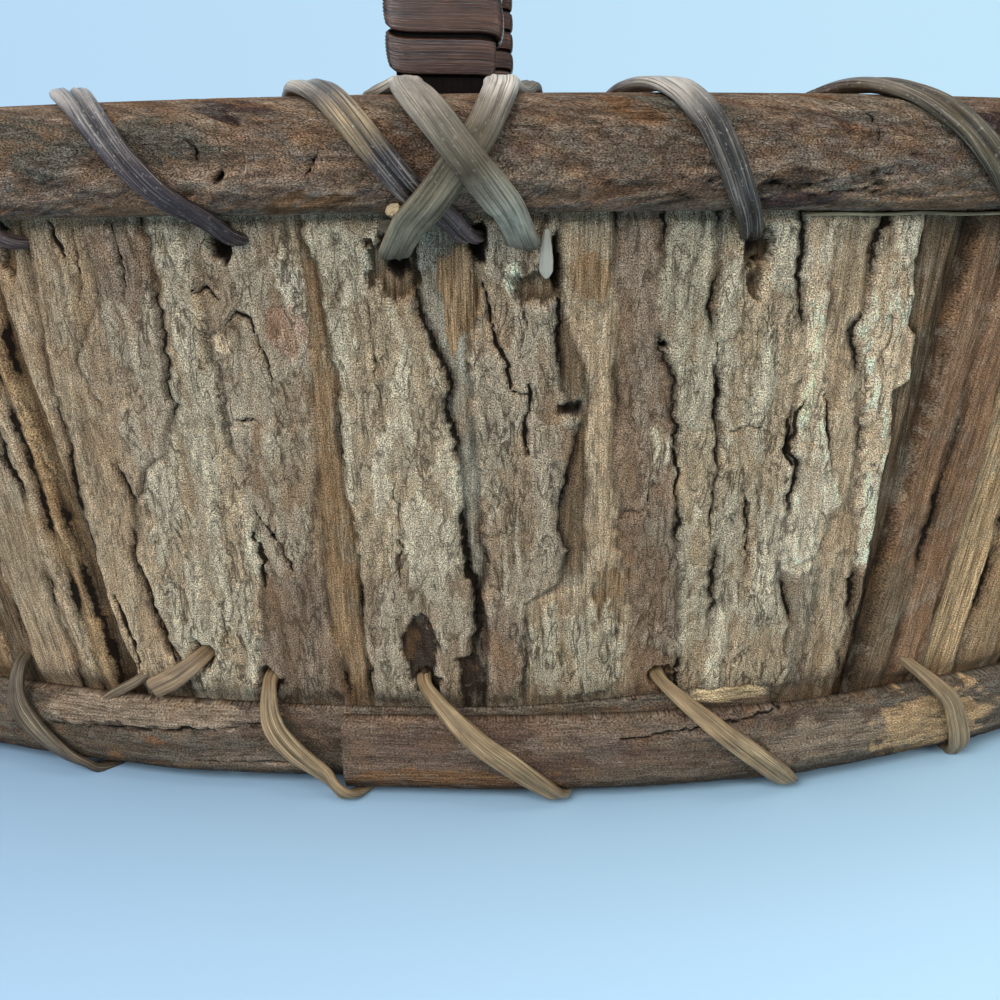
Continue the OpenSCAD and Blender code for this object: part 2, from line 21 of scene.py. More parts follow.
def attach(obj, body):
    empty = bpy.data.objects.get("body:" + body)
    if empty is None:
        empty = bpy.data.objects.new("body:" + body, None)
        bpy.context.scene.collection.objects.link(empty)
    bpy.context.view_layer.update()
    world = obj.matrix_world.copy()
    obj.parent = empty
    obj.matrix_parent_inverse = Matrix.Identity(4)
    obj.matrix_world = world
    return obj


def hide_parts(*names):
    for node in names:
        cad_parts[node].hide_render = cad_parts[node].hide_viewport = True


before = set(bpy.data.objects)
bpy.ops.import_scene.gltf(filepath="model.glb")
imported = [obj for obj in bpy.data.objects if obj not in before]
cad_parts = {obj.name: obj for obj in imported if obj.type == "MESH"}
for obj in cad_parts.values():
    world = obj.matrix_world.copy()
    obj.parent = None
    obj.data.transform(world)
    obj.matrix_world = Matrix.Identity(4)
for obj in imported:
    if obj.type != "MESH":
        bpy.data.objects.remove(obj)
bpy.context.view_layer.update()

Array = np.ndarray
Points = tuple[tuple[float, float], ...]
Spot = tuple[Array, Array]
LOG = logging.getLogger("basket")
MM = 0.001
# Factors of the sine whose fraction serves as a random value
HASH_X, HASH_Y, HASH_SEED, HASH_SPREAD = 127.1, 311.7, 53.3, 43758.5453
# Sockets of a Mix node that mixes colours
SHARE, UNDER, OVER, MIXED = 0, 6, 7, 2
# Name of the sum that carries two values onto two others
SPAN = "SPAN"
# How much of each finer layer a grain pattern has, and how strongly a bump tilts the surface
GRAIN_ROUGHNESS, BUMP_STRENGTH = 0.62, 0.8
# Colour at the bottom of a groove in cane or wood
GROOVE_TONE = "#120c09"
# Distance to an edge of bark and half-width of its split, where there is neither
NO_EDGE, NO_SPLIT = 9.0, -2.0
# Distance past which an edge no longer counts, and one that no edge is at
EDGE_REACH, FAR = 6.0, 99.0
# Length and height of the uneven steps in the edge of a strip of bark
JAGS = ((6.5, 0.6), (2.3, 0.45), (1.1, 0.2))
# Height up the wall under which a strip has the colour of its foot
FOOT_TONE_UP = 56.0
# Shortest and longest piece that a plate of bark breaks into
SHORT_PIECE, LONG_PIECE = 13.0, 34.0
UPWARDS, SIDEWAYS = np.array([0.0, 0.0, 1.0]), np.array([1.0, 0.0, 0.0])


def linear(code: str) -> tuple[float, float, float, float]:
    """Turns an sRGB hex colour to linear light.

    Args:
        code: colour as "#rrggbb".

    Returns:
        Linear red, green, blue and an alpha of 1.
    """
    parts = [int(code[i:i + 2], 16) / 255 for i in (1, 3, 5)]
    light = [p / 12.92 if p <= 0.04045 else ((p + 0.055) / 1.055) ** 2.4 for p in parts]
    return (light[0], light[1], light[2], 1.0)


def ease(t: Array | float) -> Array:
    """Smooth step from 0 to 1 as t goes from 0 to 1."""
    c = np.clip(t, 0.0, 1.0)
    return c * c * (3 - 2 * c)


def unit(v: Array) -> Array:
    """Vectors of length 1 along the last axis."""
    return v / np.linalg.norm(v, axis=-1, keepdims=True)


def turned_half(points: Array) -> Array:
    """The same points turned half round the basket."""
    return points * np.array([-1.0, -1.0, 1.0])


def lengths(line: Array) -> Array:
    """Distance of each point of a line from its first, measured along it."""
    return np.concatenate([[0.0], np.cumsum(np.linalg.norm(np.diff(line, axis=0), axis=1))])


def squared(wave: Array, power: float) -> Array:
    """A sine or cosine that draws a squarer section, the more so the smaller the power."""
    return np.sign(wave) * np.abs(wave) ** power


def closed(rings: Array) -> Array:
    """Rings with their first point repeated at the end."""
    return np.concatenate([rings, rings[:, :1]], axis=1)


@dataclass(frozen=True)
class Noise:
    """Seeded smooth noise: random values on a square lattice, blended by smooth steps."""

    seed: float

    def pick(self, x: Array, y: Array) -> Array:
        """Random value from 0 to 1 for each pair of whole numbers."""
        v = np.sin(x * HASH_X + y * HASH_Y + self.seed * HASH_SEED) * HASH_SPREAD
        return v - np.floor(v)

    def at(self, x: Array, y: Array | float = 0.0) -> Array:
        """Noise from -1 to 1 with a feature size of 1."""
        x, y = np.broadcast_arrays(np.asarray(x, float), np.asarray(y, float))
        left, low = np.floor(x), np.floor(y)
        s, t = ease(x - left), ease(y - low)
        bottom = self.pick(left, low) * (1 - s) + self.pick(left + 1, low) * s
        top = self.pick(left, low + 1) * (1 - s) + self.pick(left + 1, low + 1) * s
        return 2 * (bottom * (1 - t) + top * t) - 1

    def rough(self, x: Array, y: Array | float = 0.0, octaves: int = 4, gain: float = 0.55) -> Array:
        """Sum of noise at doubling fineness.

        Args:
            x: first coordinate, in features.
            y: second coordinate, in features.
            octaves: how many layers are summed.
            gain: height of each layer against the one before.

        Returns:
            Values of about -1 to 1.
        """
        layers = [gain ** k * Noise(self.seed + 7.3 * k).at(np.asarray(x) * 2 ** k + 3.7 * k,
                                                            np.asarray(y) * 2 ** k) for k in range(octaves)]
        return sum(layers) / sum(gain ** k for k in range(octaves)) * 1.4

    def steps(self, x: Array, row: float) -> Array:
        """Levels from -1 to 1 that jump at uneven places about 1 apart."""
        place = np.asarray(x) + 0.35 * self.at(np.asarray(x) * 1.7, row + 0.5)
        left = np.floor(place)
        here, after = self.pick(left, row), self.pick(left + 1, row)
        return 2 * (here + (after - here) * ease((place - left - 0.8) * 5)) - 1


@dataclass(frozen=True)
class Oval:
    """Outline of the wall: two long arcs and two end arcs that meet smoothly, leaning out to the top."""

    half_length: float = 165.0
    half_width: float = 95.0
    side_radius: float = 350.0
    wall_up: float = 144.0
    wall_lean: float = 20.0
    wall_foot: float = 3.0
    bark: float = 5.0
    rim_up: float = 135.0
    rim_foot: float = 125.0
    outer_rim: float = 10.0
    inner_rim: float = 9.0
    hoop_top: float = 21.0

    def __post_init__(self) -> None:
        """Works out the arcs' centres, radius and sweep."""
        centre = self.side_radius - self.half_width
        end = ((self.side_radius ** 2 - self.half_length ** 2 - centre ** 2)
               / (2 * (self.side_radius - self.half_length)))
        derived = {
            "side_centre": centre,
            "end_radius": end,
            "end_centre": self.half_length - end,
            "sweep": math.asin((self.half_length - end) / (self.side_radius - end)),
            "lean": math.asin(self.wall_lean / self.wall_up),
        }
        for name, value in derived.items():
            object.__setattr__(self, name, value)
        object.__setattr__(self, "rim_grow", self.rim_up * math.sin(self.lean))

    def half_girth(self, grow: float = 0.0) -> float:
        """Length of half the outline, grown evenly by grow."""
        return ((self.side_radius + grow) * 2 * self.sweep
                + (self.end_radius + grow) * (math.pi - 2 * self.sweep))

    def girth(self, grow: float = 0.0) -> float:
        """Length of the whole outline, grown evenly by grow."""
        return 2 * self.half_girth(grow)

    def place(self, run: Array, radial: Array, z: Array, grow: float = 0.0) -> Array:
        """Point at a run along the outline, moved out radially, at a height.

        Args:
            run: distance along the outline from the middle of the front.
            radial: distance out from the foot's outline.
            z: height over the table.
            grow: growth of the outline that the run is measured on.

        Returns:
            Points, with x, y and z on the last axis.
        """
        run, radial, z = np.broadcast_arrays(*(np.asarray(a, float) for a in (run, radial, z)))
        side_run = (self.side_radius + grow) * self.sweep
        half = self.half_girth(grow)
        halves = np.floor((run + side_run) / half)
        rest = run + side_run - halves * half
        on_side = rest < 2 * side_run
        turn = np.where(on_side,
                        rest / (self.side_radius + grow) - math.pi / 2 - self.sweep,
                        (rest - 2 * side_run) / (self.end_radius + grow) - math.pi / 2 + self.sweep)
        radius = np.where(on_side, self.side_radius, self.end_radius) + radial
        flip = np.where(np.mod(halves, 2) == 0, 1.0, -1.0)
        x = np.where(on_side, 0.0, self.end_centre) + radius * np.cos(turn)
        y = np.where(on_side, self.side_centre, 0.0) + radius * np.sin(turn)
        return np.stack([flip * x, flip * y, z], axis=-1)

    def wall(self, run: Array, out: Array, up: Array, grow: float = 0.0) -> Array:
        """Point on the leaning wall: out is square to the bark, up is along its slope."""
        run, out, up = np.broadcast_arrays(*(np.asarray(a, float) for a in (run, out, up)))
        return self.place(run, up * math.sin(self.lean) + out * math.cos(self.lean),
                          up * math.cos(self.lean) - out * math.sin(self.lean), grow)

    def outward(self, run: Array) -> Array:
        """Direction square to the wall's outer face."""
        return self.wall(run, 1.0, 0.0) - self.wall(run, 0.0, 0.0)


OVAL = Oval()


@dataclass
class Skin:
    """A closed surface made of equal rings carried along a path, with a flat cap on each end.

    Attributes:
        points: rings by points by x, y, z, in millimetres.
        lay: rings by points + 1 by two, the millimetre coordinates across and along the grain.
        marks: values for each point that the finish reads, by name.
    """

    points: Array
    lay: Array
    marks: dict[str, Array] = field(default_factory=dict)

    def make(self, name: str, material: Material, slot: str, nodes: tuple[str, ...] = ()) -> None:
        """Puts the surface into a mesh that rides on the basket.

        Args:
            name: name of the piece.
            material: finish that it gets.
            slot: the record's material slot; not used.
            nodes: solids that it stands for.
        """
        rings, sides, _ = self.points.shape
        grid = np.arange(rings * sides).reshape(rings, sides)
        quads, lay = (np.stack([a[:-1, :-1], a[:-1, 1:], a[1:, 1:], a[1:, :-1]], axis=2)
                      for a in (closed(grid), self.lay))
        quads, lay = quads.reshape(-1, 4), lay.reshape(-1, 4, 2)
        caps = np.stack([grid[0, ::-1], grid[-1]])
        cap_lay = np.stack([self.lay[0, -2::-1], self.lay[-1, :-1]])
        flat = self.points.reshape(-1, 3) * MM
        a, b, c, d = (flat[quads[:, k]] for k in range(4))
        if np.einsum("ij,ij->", a, np.cross(b, c) + np.cross(c, d)) < 0:
            quads, lay, caps, cap_lay = quads[:, ::-1], lay[:, ::-1], caps[:, ::-1], cap_lay[:, ::-1]
        corners = np.concatenate([quads.ravel(), caps.ravel()])
        starts = np.concatenate([np.arange(len(quads)) * 4, quads.size + np.arange(2) * sides])
        mesh = bpy.data.meshes.new(name)
        mesh.vertices.add(len(flat))
        mesh.vertices.foreach_set("co", flat.astype(np.float32).ravel())
        mesh.loops.add(len(corners))
        mesh.loops.foreach_set("vertex_index", corners.astype(np.int32))
        mesh.polygons.add(len(starts))
        mesh.polygons.foreach_set("loop_start", starts.astype(np.int32))
        mesh.polygons.foreach_set("use_smooth", np.arange(len(starts)) < len(quads))
        mesh.update(calc_edges=True)
        uv = mesh.uv_layers.new(name="lay")
        uv.data.foreach_set("uv", np.concatenate([lay.reshape(-1, 2), cap_lay.reshape(-1, 2)])
                            .astype(np.float32).ravel())
        for key, value in self.marks.items():
            colour = value.ndim == 3
            made = mesh.attributes.new(key, "FLOAT_COLOR" if colour else "FLOAT", "POINT")
            if colour:
                value = np.concatenate([value, np.ones_like(value[..., :1])], axis=-1)
            made.data.foreach_set("color" if colour else "value", value.astype(np.float32).ravel())
        mesh.validate()
        mesh.materials.append(material)
        piece = bpy.data.objects.new(name, mesh)
        bpy.context.scene.collection.objects.link(piece)
        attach(piece, "root")
        if nodes:
            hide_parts(*nodes)
        LOG.info("%s: %d triangles", name, 2 * len(quads) + 2 * (sides - 2))


def swept(run: Array, section: Array) -> Array:
    """Grain coordinates of rings: distance round the section, and distance along the path.

    Args:
        run: distance of each ring along the path.
        section: points of one ring in its own plane.

    Returns:
        Rings by points + 1 by two.
    """
    round_it = lengths(np.concatenate([section, section[:1]]))
    return np.stack(np.broadcast_arrays(round_it[None, :], run[:, None]), axis=-1)


def plain(points: Array, tint: Array) -> dict[str, Array]:
    """Marks of a surface of one colour without grooves."""
    return {"tint": np.broadcast_to(tint, points.shape), "furrow": np.zeros(points.shape[:2])}


def join(tree: Tree, node: Node, inputs: dict[Any, Any]) -> None:
    """Gives a node's inputs their values and links.

    Args:
        tree: node tree of a material or the world.
        node: node in that tree.
        inputs: a value or another node's output for each named socket.
    """
    for key, value in inputs.items():
        if isinstance(value, Socket):
            tree.links.new(value, node.inputs[key])
        else:
            node.inputs[key].default_value = value


def add(tree: Tree, kind: str, settings: dict[str, Any] | None = None,
        inputs: dict[Any, Any] | None = None) -> Node:
    """Adds a node with its settings and links.

    Args:
        tree: node tree of a material or the world.
        kind: Blender's name for the node.
        settings: values of its properties.
        inputs: a value or another node's output for each named socket.

    Returns:
        The new node.
    """
    made = tree.nodes.new(kind)
    for key, value in (settings or {}).items():
        setattr(made, key, value)
    join(tree, made, inputs or {})
    return made


def blank(name: str) -> tuple[Material, Tree, Node]:
    """Starts a material.

    Args:
        name: the real material's name.

    Returns:
        The material, its node tree and its Principled shader.
    """
    material = bpy.data.materials.new(name)
    material.use_nodes = True
    tree = material.node_tree
    return material, tree, tree.nodes["Principled BSDF"]


def grains(tree: Tree, sizes: dict[str, tuple[float, float, float, float]]) -> dict[str, Socket]:
    """Noise patterns that follow the grain of a piece.

    Args:
        tree: node tree of a material.
        sizes: for each pattern its width and length in millimetres, its detail and its distortion.

    Returns:
        Each pattern's output, from 0 to 1.
    """
    lay = add(tree, "ShaderNodeUVMap", {"uv_map": "lay"}).outputs["UV"]
    made = {}
    for key, (wide, long, detail, bend) in sizes.items():
        spread = add(tree, "ShaderNodeMapping", None, {"Vector": lay, "Scale": (1 / wide, 1 / long, 1)})
        made[key] = add(tree, "ShaderNodeTexNoise", None,
                        {"Vector": spread.outputs[0], "Scale": 1.0, "Detail": detail,
                         "Roughness": GRAIN_ROUGHNESS, "Distortion": bend}).outputs["Fac"]
    return made


def work_out(tree: Tree, known: dict[str, Any], rows: tuple[tuple[Any, ...], ...]) -> None:
    """Works out values one after another, each from those before it.

    A span carries two values of its source onto two others. Every other sum has Blender's name.

    Args:
        tree: node tree of a material.
        known: outputs by name, to which each row adds its own.
        rows: for each value its name, its sum, and a known name or a number for each input of the sum.
    """
    for name, kind, *terms in rows:
        inputs = {k: known.get(term, term) for k, term in enumerate(terms)}
        if kind == SPAN:
            made = add(tree, "ShaderNodeMapRange", None, inputs)
        else:
            made = add(tree, "ShaderNodeMath", {"operation": kind}, inputs)
        known[name] = made.outputs[0]


@dataclass(frozen=True)
class Bark:
    """Weathered bark.

    Plates are matt and gritty with short dark dashes along the grain, hairline splits come in patches, torn
    bands show lengthwise fibres, and the edges of plates are near-black splits with brown margins of fibre
    and painted shade.

    Attributes:
        name: the real material.
        speck: width of the grit in millimetres.
        stretch: how many times longer than wide the grit is.
        contrast: how far the grit lightens and darkens.
        hair: darkness of the hairline splits.
        hair_gap: spacing of the hairlines in millimetres.
        hair_long: length of the hairlines in millimetres.
        blotch: size of the patches of warm and grey in millimetres.
        warm: colour of the warm patches.
        grey: colour of the grey patches.
        shift: how far the patches change the colour.
        margin: colour beside a split, partly fibrous brown and partly painted shade.
        split: colour of a split.
        net: darkness of the net of fine cracks in the crust.
        mesh: width of the meshes of that net in millimetres.
        rough: roughness of the surface.
        gloss: specular level of the surface.
        depth: height of the grit in millimetres.
    """

    name: str
    speck: float = 0.22
    stretch: float = 1.4
    contrast: float = 0.95
    hair: float = 0.85
    hair_gap: float = 2.2
    hair_long: float = 8.0
    blotch: float = 6.0
    warm: str = "#a87c52"
    grey: str = "#b8ad94"
    shift: float = 0.28
    margin: str = "#3a2919"
    split: str = "#1c130b"
    net: float = 0.5
    mesh: float = 3.4
    rough: float = 0.9
    gloss: float = 0.1
    depth: float = 0.5

    def material(self) -> Material:
        """Builds the finish: the mesh's tint, patched, gritted and streaked, with its splits drawn in."""
        material, tree, shader = blank(self.name)
        colour = add(tree, "ShaderNodeAttribute", {"attribute_name": "tint"}).outputs["Color"]
        known = {key: add(tree, "ShaderNodeAttribute", {"attribute_name": key}).outputs["Fac"]
                 for key in ("fibre", "furrow", "edge", "gap")}
        known |= grains(tree, {
            "speck": (self.speck, self.speck * self.stretch, 2.0, 0.2),
            "streak": (0.42, 9.0, 4.0, 0.3),
            "hair": (self.hair_gap, self.hair_long, 2.0, 0.6),
            "patch": (self.blotch, 1.8 * self.blotch, 6.0, 0.5),
            "cloud": (1.6 * self.blotch, 4 * self.blotch, 4.0, 1.0),
            "wobble": (1.1, 1.7, 3.0, 0.0),
        })
        lay = add(tree, "ShaderNodeUVMap", {"uv_map": "lay"}).outputs["UV"]
        curl = add(tree, "ShaderNodeTexNoise", None,
                   {"Vector": lay, "Scale": 0.7, "Detail": 2.0}).outputs["Color"]
        curled = add(tree, "ShaderNodeVectorMath", {"operation": "MULTIPLY_ADD"},
                     {0: curl, 1: (1.8, 2.6, 0.0), 2: lay}).outputs[0]
        meshes = add(tree, "ShaderNodeMapping", None,
                     {"Vector": curled, "Scale": (1 / self.mesh, 0.5 / self.mesh, 1)}).outputs[0]
        known["net"] = add(tree, "ShaderNodeTexVoronoi",
                           {"feature": "DISTANCE_TO_EDGE", "voronoi_dimensions": "2D"},
                           {"Vector": meshes, "Scale": 1.0}).outputs["Distance"]
        work_out(tree, known, (
            ("grit", SPAN, "speck", 0.33, 0.67, -self.contrast, 0.95 * self.contrast),
            ("sand", SPAN, "fibre", 0.0, 1.0, 1.0, 0.8),
            ("plate", SPAN, "fibre", 0.0, 1.0, 1.0, 0.3),
            ("strand", SPAN, "streak", 0.33, 0.67, -0.85, 0.8),
            ("stain", SPAN, "cloud", 0.3, 0.7, 0.84, 1.16),
            ("crust", SPAN, "cloud", 0.6, 0.44, 0.1, self.net),
            ("comb", SPAN, "streak", 0.35, 0.62, 1.0, 0.3),
            ("warm", SPAN, "patch", 0.54, 0.62, 0.0, self.shift),
            ("grey", SPAN, "patch", 0.46, 0.38, 0.0, self.shift),
            ("cluster", SPAN, "patch", 0.58, 0.44, 0.25, self.hair),
            ("sway", SPAN, "wobble", 0.2, 0.8, -0.55, 0.55),
            ("strands", "MULTIPLY_ADD", "fibre", "strand", 1.0),
            ("sandy", "MULTIPLY_ADD", "grit", "sand", 1.0),
            ("flecked", "MULTIPLY", "sandy", "strands"),
            ("shade", "MULTIPLY", "flecked", "stain"),
            ("off_hair", "SUBTRACT", "hair", 0.5),
            ("near_hair", "ABSOLUTE", "off_hair"),
            ("hairline", SPAN, "near_hair", 0.0, 0.06, 1.0, 0.0),
            ("netting", SPAN, "net", 0.005, 0.045, 1.0, 0.0),
            ("swayed", "ADD", "edge", "sway"),
            ("apart", "ABSOLUTE", "swayed"),
            ("beside", "SUBTRACT", "apart", "gap"),
            ("margin", SPAN, "beside", 0.0, 1.7, 0.85, 0.0),
            ("split", SPAN, "beside", -0.12, 0.2, 0.95, 0.0),
            ("ragged", "MULTIPLY_ADD", "speck", 0.7, "furrow"),
            ("pit", SPAN, "ragged", 0.8, 0.98, 0.0, 0.95),
            ("crusted", "MULTIPLY", "crust", "plate"),
            ("clustered", "MULTIPLY", "cluster", "plate"),
            ("hairs", "MULTIPLY", "hairline", "clustered"),
            ("nets", "MULTIPLY", "netting", "crusted"),
            ("margins", "MULTIPLY", "margin", "comb"),
            ("lines", "MAXIMUM", "hairs", "nets"),
            ("browned", "MAXIMUM", "lines", "margins"),
            ("black", "MAXIMUM", "split", "pit"),
            ("relief", "SUBTRACT", "shade", "browned"),
        ))
        for key, tone in (("warm", self.warm), ("grey", self.grey)):
            colour = add(tree, "ShaderNodeMix", {"data_type": "RGBA"},
                         {SHARE: known[key], UNDER: colour, OVER: linear(tone)}).outputs[MIXED]
        # What is dark in the grit is browner, what is light is paler
        hued = add(tree, "ShaderNodeVectorMath", {"operation": "MULTIPLY_ADD"},
                   {0: known["shade"], 1: (0.96, 1.0, 1.08), 2: (0.04, 0.0, -0.08)}).outputs[0]
        colour = add(tree, "ShaderNodeVectorMath", {"operation": "MULTIPLY"}, {0: colour, 1: hued}).outputs[0]
        for key, tone in (("browned", self.margin), ("black", self.split)):
            colour = add(tree, "ShaderNodeMix", {"data_type": "RGBA"},
                         {SHARE: known[key], UNDER: colour, OVER: linear(tone)}).outputs[MIXED]
        bump = add(tree, "ShaderNodeBump", None, {"Height": known["relief"], "Strength": BUMP_STRENGTH,
                                                  "Distance": self.depth * MM}).outputs[0]
        join(tree, shader, {"Base Color": colour, "Normal": bump, "Roughness": self.rough,
                            "Specular IOR Level": self.gloss})
        return material


@dataclass(frozen=True)
class LongGrain:
    """Split cane, reed or bent wood.

    Fine dark and pale lines run along its length, its colour drifts in long patches, and handling has left a
    sheen.

    Attributes:
        name: the real material.
        dark: colour of the deep lines.
        pale: colour of the rubbed fibres.
        line: width of a line in millimetres.
        long: length of a line in millimetres.
        deep: how far the dark lines cover.
        rubbed: how far the pale fibres cover.
        rough: roughness of the surface.
        gloss: specular level of the surface.
        depth: height of the fibres in millimetres.
        dust: how far pale specks cover.
    """

    name: str
    dark: str
    pale: str
    line: float = 0.4
    long: float = 18.0
    deep: float = 0.8
    rubbed: float = 0.6
    rough: float = 0.5
    gloss: float = 0.4
    depth: float = 0.25
    dust: float = 0.0

    def material(self) -> Material:
        """Builds the finish: the mesh's tint with dark and pale lines along it, and its grooves darkened."""
        material, tree, shader = blank(self.name)
        colour = add(tree, "ShaderNodeAttribute", {"attribute_name": "tint"}).outputs["Color"]
        known = {"furrow": add(tree, "ShaderNodeAttribute", {"attribute_name": "furrow"}).outputs["Fac"]}
        known |= grains(tree, {"line": (self.line, self.long, 4.0, 0.15), "patch": (3.0, 9.0, 5.0, 0.6),
                               "dust": (0.5, 0.9, 3.0, 0.4)})
        work_out(tree, known, (
            ("dark", SPAN, "line", 0.49, 0.36, 0.0, self.deep),
            ("pale", SPAN, "line", 0.54, 0.66, 0.0, self.rubbed),
            ("dusty", SPAN, "dust", 0.6, 0.7, 0.0, self.dust),
            ("drift", SPAN, "patch", 0.3, 0.7, 0.62, 1.3),
        ))
        layers = {"dark": self.dark, "pale": self.pale, "furrow": GROOVE_TONE, "dusty": self.pale}
        for key, tone in layers.items():
            colour = add(tree, "ShaderNodeMix", {"data_type": "RGBA"},
                         {SHARE: known[key], UNDER: colour, OVER: linear(tone)}).outputs[MIXED]
            # The lined colour drifts, and the grooves and the dust over it don't
            if key == "pale":
                colour = add(tree, "ShaderNodeVectorMath", {"operation": "SCALE"},
                             {0: colour, "Scale": known["drift"]}).outputs[0]
        bump = add(tree, "ShaderNodeBump", None, {"Height": known["line"], "Strength": BUMP_STRENGTH,
                                                  "Distance": self.depth * MM}).outputs[0]
        join(tree, shader, {"Base Color": colour, "Normal": bump, "Roughness": self.rough,
                            "Specular IOR Level": self.gloss})
        return material


class Tone(Enum):
    """Colours of bark and cane."""

    OLIVE = "#d4c3a5"
    PALE = "#ffe9c6"
    MIST = "#d8c8ac"
    LICHEN = "#cdbd9f"
    TAN = "#c7ae8d"
    OCHRE = "#c8a67c"
    RUST = "#8a6648"
    PINK = "#c8a78c"
    DRAB = "#c0ad92"
    BROWN = "#ad8d69"
    UMBER = "#8a7359"
    PURPLE = "#a38d76"
    PLUM = "#57443f"
    SLATE = "#c0b7a1"
    RUSSET = "#9c7a5e"
    # Near-black brown: the dark feet of some strips, and the painted shade in holes and pits
    DARK_BROWN = "#4f4238"
    SEPIA = "#8a7260"
    HAZEL = "#a38a74"
    ASH = "#716759"
    STRAW = "#b8a37e"
    BUFF = "#96836e"

    @property
    def light(self) -> Array:
        """Linear red, green and blue."""
        return np.array(linear(self.value)[:3])


@dataclass(frozen=True)
class Strip:
    """A plate or band of bark that runs up the wall.

    Attributes:
        edge: run and up of points on its left edge.
        tone: its colour.
        level: how far it stands out, in millimetres.
        fibre: 0 for a crusted plate, 1 for torn fibres.
        crack: how often its left edge is split, from 0 to 1.
        width: half-width of that split in millimetres.
        foot: its colour near the foot, where that differs.
    """

    edge: Points
    tone: Tone
    level: float
    fibre: float = 0.0
    crack: float = 0.6
    width: float = 0.4
    foot: Tone | None = None


@dataclass(frozen=True)
class Crack:
    """A dark split.

    Attributes:
        path: points across and along the grain.
        depth: how black it is, from 0 to 1.
        width: half-width in millimetres.
    """

    path: Points
    depth: float = 0.9
    width: float = 0.4


@dataclass(frozen=True)
class Blot:
    """A patch of bark of another kind.

    Attributes:
        across: middle of the patch across the grain.
        along: middle of the patch along the grain.
        wide: half-width in millimetres.
        long: half-length in millimetres.
        tone: its colour.
        pit: how far it is sunk, in millimetres.
        fibre: how fibrous it is.
        dark: how black it is, from 0 to 1.
    """

    across: float
    along: float
    wide: float
    long: float
    tone: Tone
    pit: float = 0.0
    fibre: float = 0.0
    dark: float = 0.0


